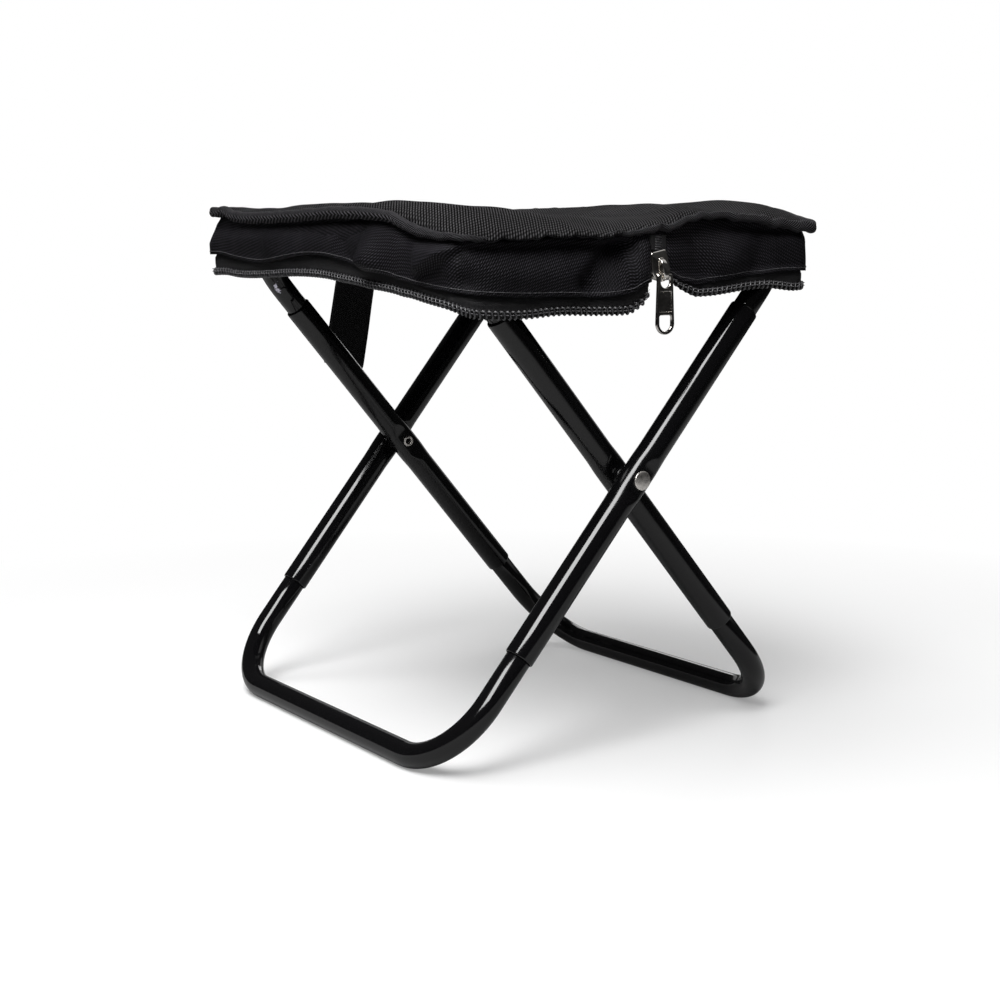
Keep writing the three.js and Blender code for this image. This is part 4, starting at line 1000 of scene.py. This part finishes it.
# Zip slider. Two nickel-plated cast plates with side flanges run on the coil, joined by a
# post at the mouth, which points down; an arched bridge on the face holds the pull tab.
slider_low, slider_high = 0.2536, 0.2684
slider_middle = (fold_y, (slider_low + slider_high) / 2)
slider_tilt = radians(12)
edge_angle = radians(50)
bridge_half, bridge_thick, bridge_swell = 0.0013, 0.00058, 0.35
nickel = nickel_plate("bright_nickel", 0.06, 0.16)


def tilted(shape, middle, angle):
    """A shape turned about the line along X through one place."""
    points, faces, uv = shape
    spot, turn = np.array([0, *middle]), np.array(Matrix.Rotation(angle, 3, "X"))
    return (points - spot) @ turn.T + spot, faces, uv


def plate(name, outlines, low_x, thickness, bevel, body="zip_slider", stands_for=None):
    """A flat nickel piece, its outline and holes cut in Y and Z, with rounded edges."""
    curve = bpy.data.curves.new(name, "CURVE")
    curve.dimensions = "2D"
    curve.fill_mode = "BOTH"
    for loop in outlines:
        spline = curve.splines.new("POLY")
        spline.points.add(len(loop) - 1)
        for point, (a, b) in zip(spline.points, loop):
            point.co = (a, b, 0, 1)
        spline.use_cyclic_u = True
    curve.extrude = thickness / 2 - bevel
    curve.bevel_depth = bevel
    curve.bevel_resolution = 3
    curve.offset = -bevel
    drawn = add_object(name, curve)
    bpy.context.view_layer.update()
    data = bpy.data.meshes.new_from_object(drawn)
    bpy.data.objects.remove(drawn)
    data.transform(Matrix(((0, 0, 1, low_x + thickness / 2), (1, 0, 0, 0), (0, 1, 0, 0), (0, 0, 0, 1))))
    if body == "zip_slider":
        spot = Vector((0, *slider_middle))
        turn = Matrix.Translation(spot) @ Matrix.Rotation(slider_tilt, 4, "X")
        data.transform(turn @ Matrix.Translation(-spot))
    data.materials.clear()
    data.materials.append(nickel)
    data.polygons.foreach_set("use_smooth", [True] * len(data.polygons))
    made = add_object(name, data)
    made.modifiers.new("edge", "EDGE_SPLIT").split_angle = edge_angle
    dress(made, body, stands_for)


def arc(y, z, radius_y, radius_z, start, end, steps):
    angles = np.linspace(start, end, steps + 1)
    return [(y + radius_y * cos(a), z + radius_z * sin(a)) for a in angles]


def shoulders(y, half, top, radius, steps):
    """The two rounded upper corners of a plate."""
    return [spot for hand, start in ((1, 0), (-1, pi / 2))
            for spot in arc(y + hand * half, top - radius, radius, radius, start, start + pi / 2, steps)]


def smoothed(points, count, passes):
    points = np.array(points)
    fine = np.linspace(0, len(points) - 1, count)
    points = np.stack([np.interp(fine, np.arange(len(points)), points[:, i]) for i in (0, 1)], 1)
    for _ in range(passes):
        points[1:-1] = (points[:-2] + 2 * points[1:-1] + points[2:]) / 4
    return points


mouth_round = 0.0049
mouth_z = slider_low + mouth_round
flank_half, flank_z = 0.0052, mouth_z + 0.0015
slider_outline = (
    arc(fold_y, mouth_z, 0.00525, mouth_round, -pi, 0, 18) + [(fold_y + flank_half, flank_z)]
    + shoulders(fold_y, 0.0033, slider_high, 0.0012, 6) + [(fold_y - flank_half, flank_z)])


def slider_cap():
    """The front plate: a flat-sided cap whose face is crowned like a pillow."""
    middle = np.array(slider_middle) + (0, 0.0006)
    rim = (np.array(slider_outline) - middle) * (1.12, 1.1)
    levels = [(1.0, -0.0013), (1.0, -0.0004)]
    levels += [(0.87 + 0.13 * cos(a), -0.0004 + 0.0007 * sin(a)) for a in np.linspace(0.2, 1.2, 5)]
    levels += [(0.78, 0.00055), (0.6, 0.0009), (0.4, 0.00115), (0.2, 0.00127), (0.04, 0.0013)]
    outline = [middle + rim * share for share, _ in levels]
    at = [(slider_face_x + out, 0, 0) for _, out in levels]
    points, faces, _ = tilted(sweep(at, (0, 1, 0), (0, 0, 1), outline), slider_middle, slider_tilt)
    cap = add_mesh("slider_front_plate", (points, faces, None), nickel, "zip_slider",
                   "zip_slider")
    cap.modifiers.new("edge", "EDGE_SPLIT").split_angle = edge_angle


slider_cap()
plate("slider_back_plate", [slider_outline], slider_face_x - 0.0052, 0.0013, 0.0003)
for hand_name, hand in (("front", -1), ("back", 1)):
    low_y, high_y = sorted((fold_y + hand * 0.0037, fold_y + hand * 0.0045))
    flange_top = slider_high - 0.0013
    strip = [(low_y, mouth_z), (high_y, mouth_z), (high_y, flange_top), (low_y, flange_top)]
    for layer, low_x in (("inner", -0.0043), ("outer", -0.00215)):
        plate(f"slider_flange_{layer}_{hand_name}", [strip], slider_face_x + low_x, 0.0012, 0.0002)
post = arc(fold_y, slider_low + 0.0025, 0.0013, 0.00185, 0, 2 * pi, 16)[:-1]
plate("slider_post", [post], slider_face_x - 0.0045, 0.0038, 0.0002)


def slider_bridge():
    """A strip that rises from the mouth, arches over the tab's eye and lands near the top."""
    path = smoothed([
        (-0.0006, 0.2547), (0.0014, 0.2547), (0.0027, 0.2551), (0.0034, 0.256), (0.0036, 0.2574),
        (0.0036, 0.2592), (0.0036, 0.261), (0.0033, 0.2624), (0.0026, 0.2637), (0.0015, 0.2646),
        (0.0002, 0.265)], 64, 6)
    at = np.stack([slider_face_x + path[:, 0], np.full(len(path), fold_y), path[:, 1]], 1)
    angles = np.linspace(0, 2 * pi, 28, endpoint=False)
    flat_round = np.stack([bridge_half * np.sign(np.cos(angles)) * np.abs(np.cos(angles)) ** 0.6,
                           bridge_thick * np.sign(np.sin(angles)) * np.abs(np.sin(angles)) ** 0.8], 1)
    widen = 1 + bridge_swell * np.sin(np.linspace(0, pi, len(at))) ** 2
    outline = flat_round[None] * np.stack([widen, np.ones_like(widen)], -1)[:, None]
    bridge = sweep(at, (0, 1, 0), np.cross(headings(at), (0, 1, 0)), outline)
    bridge = tilted(bridge, slider_middle, slider_tilt)
    add_mesh("slider_bridge", bridge, nickel, "zip_slider")


slider_bridge()

# Pull tab. A flat plated tab hangs from the bridge by its eye: it widens downwards and has a
# plain sunk panel with a raised rim and a round-ended hole.
pull_x, pull_y, pull_z = 0.149503, 0.006369, 0.256197
tab_top, tab_end, tab_round = pull_z + 0.0008, pull_z - 0.0306, 0.0058
eye_top, hole_top = pull_z - 0.0008, tab_end + 0.01


def opening(low, half, top, wide, narrow, drop, steps):
    """A round-ended hole with clipped upper corners."""
    corners = [(wide, drop), (narrow, 0), (-narrow, 0), (-wide, drop)]
    return arc(pull_y, low, half, half, -pi, 0, steps) + [(pull_y + y, top - z) for y, z in corners]


tab_outline = (arc(pull_y, tab_end + tab_round, tab_round, tab_round, -pi, 0, 30)
               + shoulders(pull_y, 0.0033, tab_top, 0.0016, 8))
eye = opening(eye_top - 0.0026, 0.0032, eye_top, 0.003, 0.0026, 0.0003, 20)
hole = opening(tab_end + 0.0056, 0.004, hole_top, 0.004, 0.0034, 0.0006, 24)
sunk = [(pull_y + y, z) for y, z in ((-0.0042, hole_top + 0.0018), (0.0042, hole_top + 0.0018),
                                     (0.0035, eye_top - 0.0075), (-0.0035, eye_top - 0.0075))]
plate("tab_plate", [tab_outline, eye, hole], pull_x - 0.00075, 0.0011, 0.00028, "pull_tab", "pull_tab")
plate("tab_rim", [tab_outline, eye, hole, sunk], pull_x + 0.0002, 0.0007, 0.0003, "pull_tab")

# Carry strap. One length of black webbing on the far wall, doubled and sewn at its root
# under the seam; the loop below it hangs down beside the leg, leaning a little forward.
strap_x, strap_y, strap_hinge_z = -0.1521, -0.0112, 0.264
strap_lean = radians(-11)
strap_half, strap_cloth = 0.0138, 0.0006


def webbing():
    """Heavy webbing with coarse ribs across its width."""
    made = new_material("webbing", 0.7, gloss=0.25)
    ribs = [wave(way, pitch) for way, pitch in zip(cloth_uv(made), (0.0015, 0.0021))]
    weave = calc("MULTIPLY", *ribs)
    shade = ranged(weave, -1, 1, 0.5, 1.7)
    return into_surface(made, Base_Color=tinted((0.0105, 0.0102, 0.011), shade),
                        Normal=raised(weave, 0.00025, 0.7))


strap_weave = webbing()


def strap_piece(name, path, body, stands_for):
    path = smoothed(path, 90, 8)
    at = np.stack([path[:, 0], np.full(len(path), strap_y), path[:, 1]], 1)
    face = [(y, -strap_cloth) for y in np.linspace(-strap_half, strap_half, 15)]
    outline = face + [(y, -z) for y, z in reversed(face)]
    strap = sweep(at, (0, 1, 0), np.cross(headings(at), (0, 1, 0)), outline)
    strap = tilted(strap, (strap_y, strap_hinge_z), strap_lean)
    add_mesh(name, strap, strap_weave, body, stands_for)


face_x = strap_x + 0.0007
sewn_end = [(face_x, 0.2645), (face_x, 0.274), (face_x + 0.0001, 0.2838)]
strap_piece("strap_sewn_end", sewn_end, "strap_anchor", "strap_root")
loop = [
    (face_x, 0.2638), (face_x, 0.25), (face_x - 0.0001, 0.22), (face_x - 0.0001, 0.2), (face_x, 0.197),
    (face_x + 0.0007, 0.1955), (face_x + 0.0019, 0.1955), (face_x + 0.0026, 0.197), (face_x + 0.0027, 0.2),
    (face_x + 0.0025, 0.22), (face_x + 0.0015, 0.24), (face_x + 0.0013, 0.2638)]
strap_piece("strap_loop", loop, "carry_strap", "carry_strap")

# Folding. The real case shuts like a book as the legs close. The cloth here can't do that,
# so every piece of it only gets a mesh of its own.
for piece in case_pieces:
    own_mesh(piece)

# Studio floor. White paper that keeps the stool's soft shadow and fades to plain white
# before it ends.
floor_reach = 12.0
fade_start, fade_end = 0.22, 0.66
paper_tone = 0.87


def white_paper():
    made = new_material("white_paper", 0.8, gloss=0.1)
    output = made.node_tree.nodes["Material Output"]
    surface = made.node_tree.nodes["Principled BSDF"]
    seen, glossy, diffuse = (source(made, "LightPath", f"Is {kind} Ray")
                             for kind in ("Camera", "Glossy", "Diffuse"))
    away = vector_calc("LENGTH", "Value", {0: place_of(made)})
    paper = ranged(away, 0.6, 0.9, 0.38, 0.04)
    bounced = calc("MAXIMUM", glossy, diffuse)
    darker = calc("MULTIPLY", bounced, calc("SUBTRACT", paper_tone, paper))
    into_surface(made, Base_Color=tinted((1, 1, 1), calc("SUBTRACT", paper_tone, darker)))
    far = ranged(away, fade_start, fade_end, 0.27, 1.0)
    ends = {"Fac": calc("MULTIPLY", far, seen), 1: surface.outputs["BSDF"], 2: source(made, "Emission")}
    feed(put_node("MixShader", ends), output.inputs["Surface"])
    return made


data = bpy.data.meshes.new("floor")
corners = [(x * floor_reach, y * floor_reach, 0) for x, y in ((-1, -1), (1, -1), (1, 1), (-1, 1))]
data.from_pydata(corners, [], [(0, 1, 2, 3)])
data.materials.append(white_paper())
add_object("floor", data)

# Studio light. A tall soft box high in front gives the long line on each leg. One like it and a
# wide one overhead light the cloth and the floor, and two dim ones behind edge the forms. The
# room is white to the camera and dim in the paint's reflections.
world = bpy.data.worlds.new("studio")
bpy.context.scene.world = world
world.use_nodes = True
room = world.node_tree.nodes["Background"]
room_dim = 0.13
seen, glossy = (source(world, "LightPath", f"Is {kind} Ray") for kind in ("Camera", "Glossy"))
facing = source(world, "TexCoord", "Generated")
towards = vector_calc("DOT_PRODUCT", "Value", {0: facing, 1: (0.25, 0.6, 0.76)})
pale_corner = ranged(towards, 0.86, 0.97, 0.03, 0.6)
dim = calc("MULTIPLY_ADD", glossy, calc("SUBTRACT", pale_corner, room_dim), room_dim)
feed(calc("MAXIMUM", dim, seen), room.inputs["Strength"])
room.inputs["Color"].default_value = (1, 1, 1, 1)


def soft_box(name, place, aim_z, width, height, power, in_gloss=True, in_cloth=True):
    light = bpy.data.lights.new(name, "AREA")
    light.shape = "RECTANGLE"
    light.size, light.size_y = width, height
    light.energy = power
    made = add_object(name, light)
    made.location = place
    made.rotation_mode = "QUATERNION"
    made.rotation_quaternion = (Vector((0, 0, aim_z)) - Vector(place)).to_track_quat("-Z", "Y")
    made.visible_camera = False
    made.visible_glossy = in_gloss
    made.visible_diffuse = in_cloth


soft_box("key_box", (0.62, -0.85, 1.35), 0.15, 0.7, 1.1, 34, in_cloth=False)
soft_box("left_box", (0.6, -0.75, 1.35), 0.15, 0.7, 0.9, 24, in_gloss=False)
soft_box("top_box", (-0.25, -0.35, 1.65), 0.2, 1.3, 1.0, 17, in_gloss=False)
soft_box("back_box", (-1.3, 1.2, 1.0), 0.2, 0.4, 1.2, 3)
soft_box("rim_box", (-1.6, 1.3, 0.5), 0.1, 2.4, 0.45, 1.4, in_cloth=False)

# Camera. It stands just off the front corner on the pull side, at about the seat's height and
# a metre away, and looks down by eight degrees.
camera_place = (0.85538, -0.55436, 0.26728)
yaw, pitch, roll = -0.9956, -0.1415, -0.0094
camera_data = bpy.data.cameras.new("camera")
camera_data.lens = 61.83
camera_data.clip_start = 0.01
camera_data.clip_end = 50
camera = add_object("camera", camera_data)
bpy.context.scene.camera = camera
ahead = Vector((sin(yaw) * cos(pitch), cos(yaw) * cos(pitch), sin(pitch)))
level = ahead.cross(Vector((0, 0, 1))).normalized()
above = level.cross(ahead)
axes = (cos(roll) * level + sin(roll) * above, cos(roll) * above - sin(roll) * level, -ahead)
camera.matrix_world = Matrix.Translation(camera_place) @ Matrix(axes).transposed().to_4x4()

bpy.context.scene.view_settings.view_transform = "Standard"
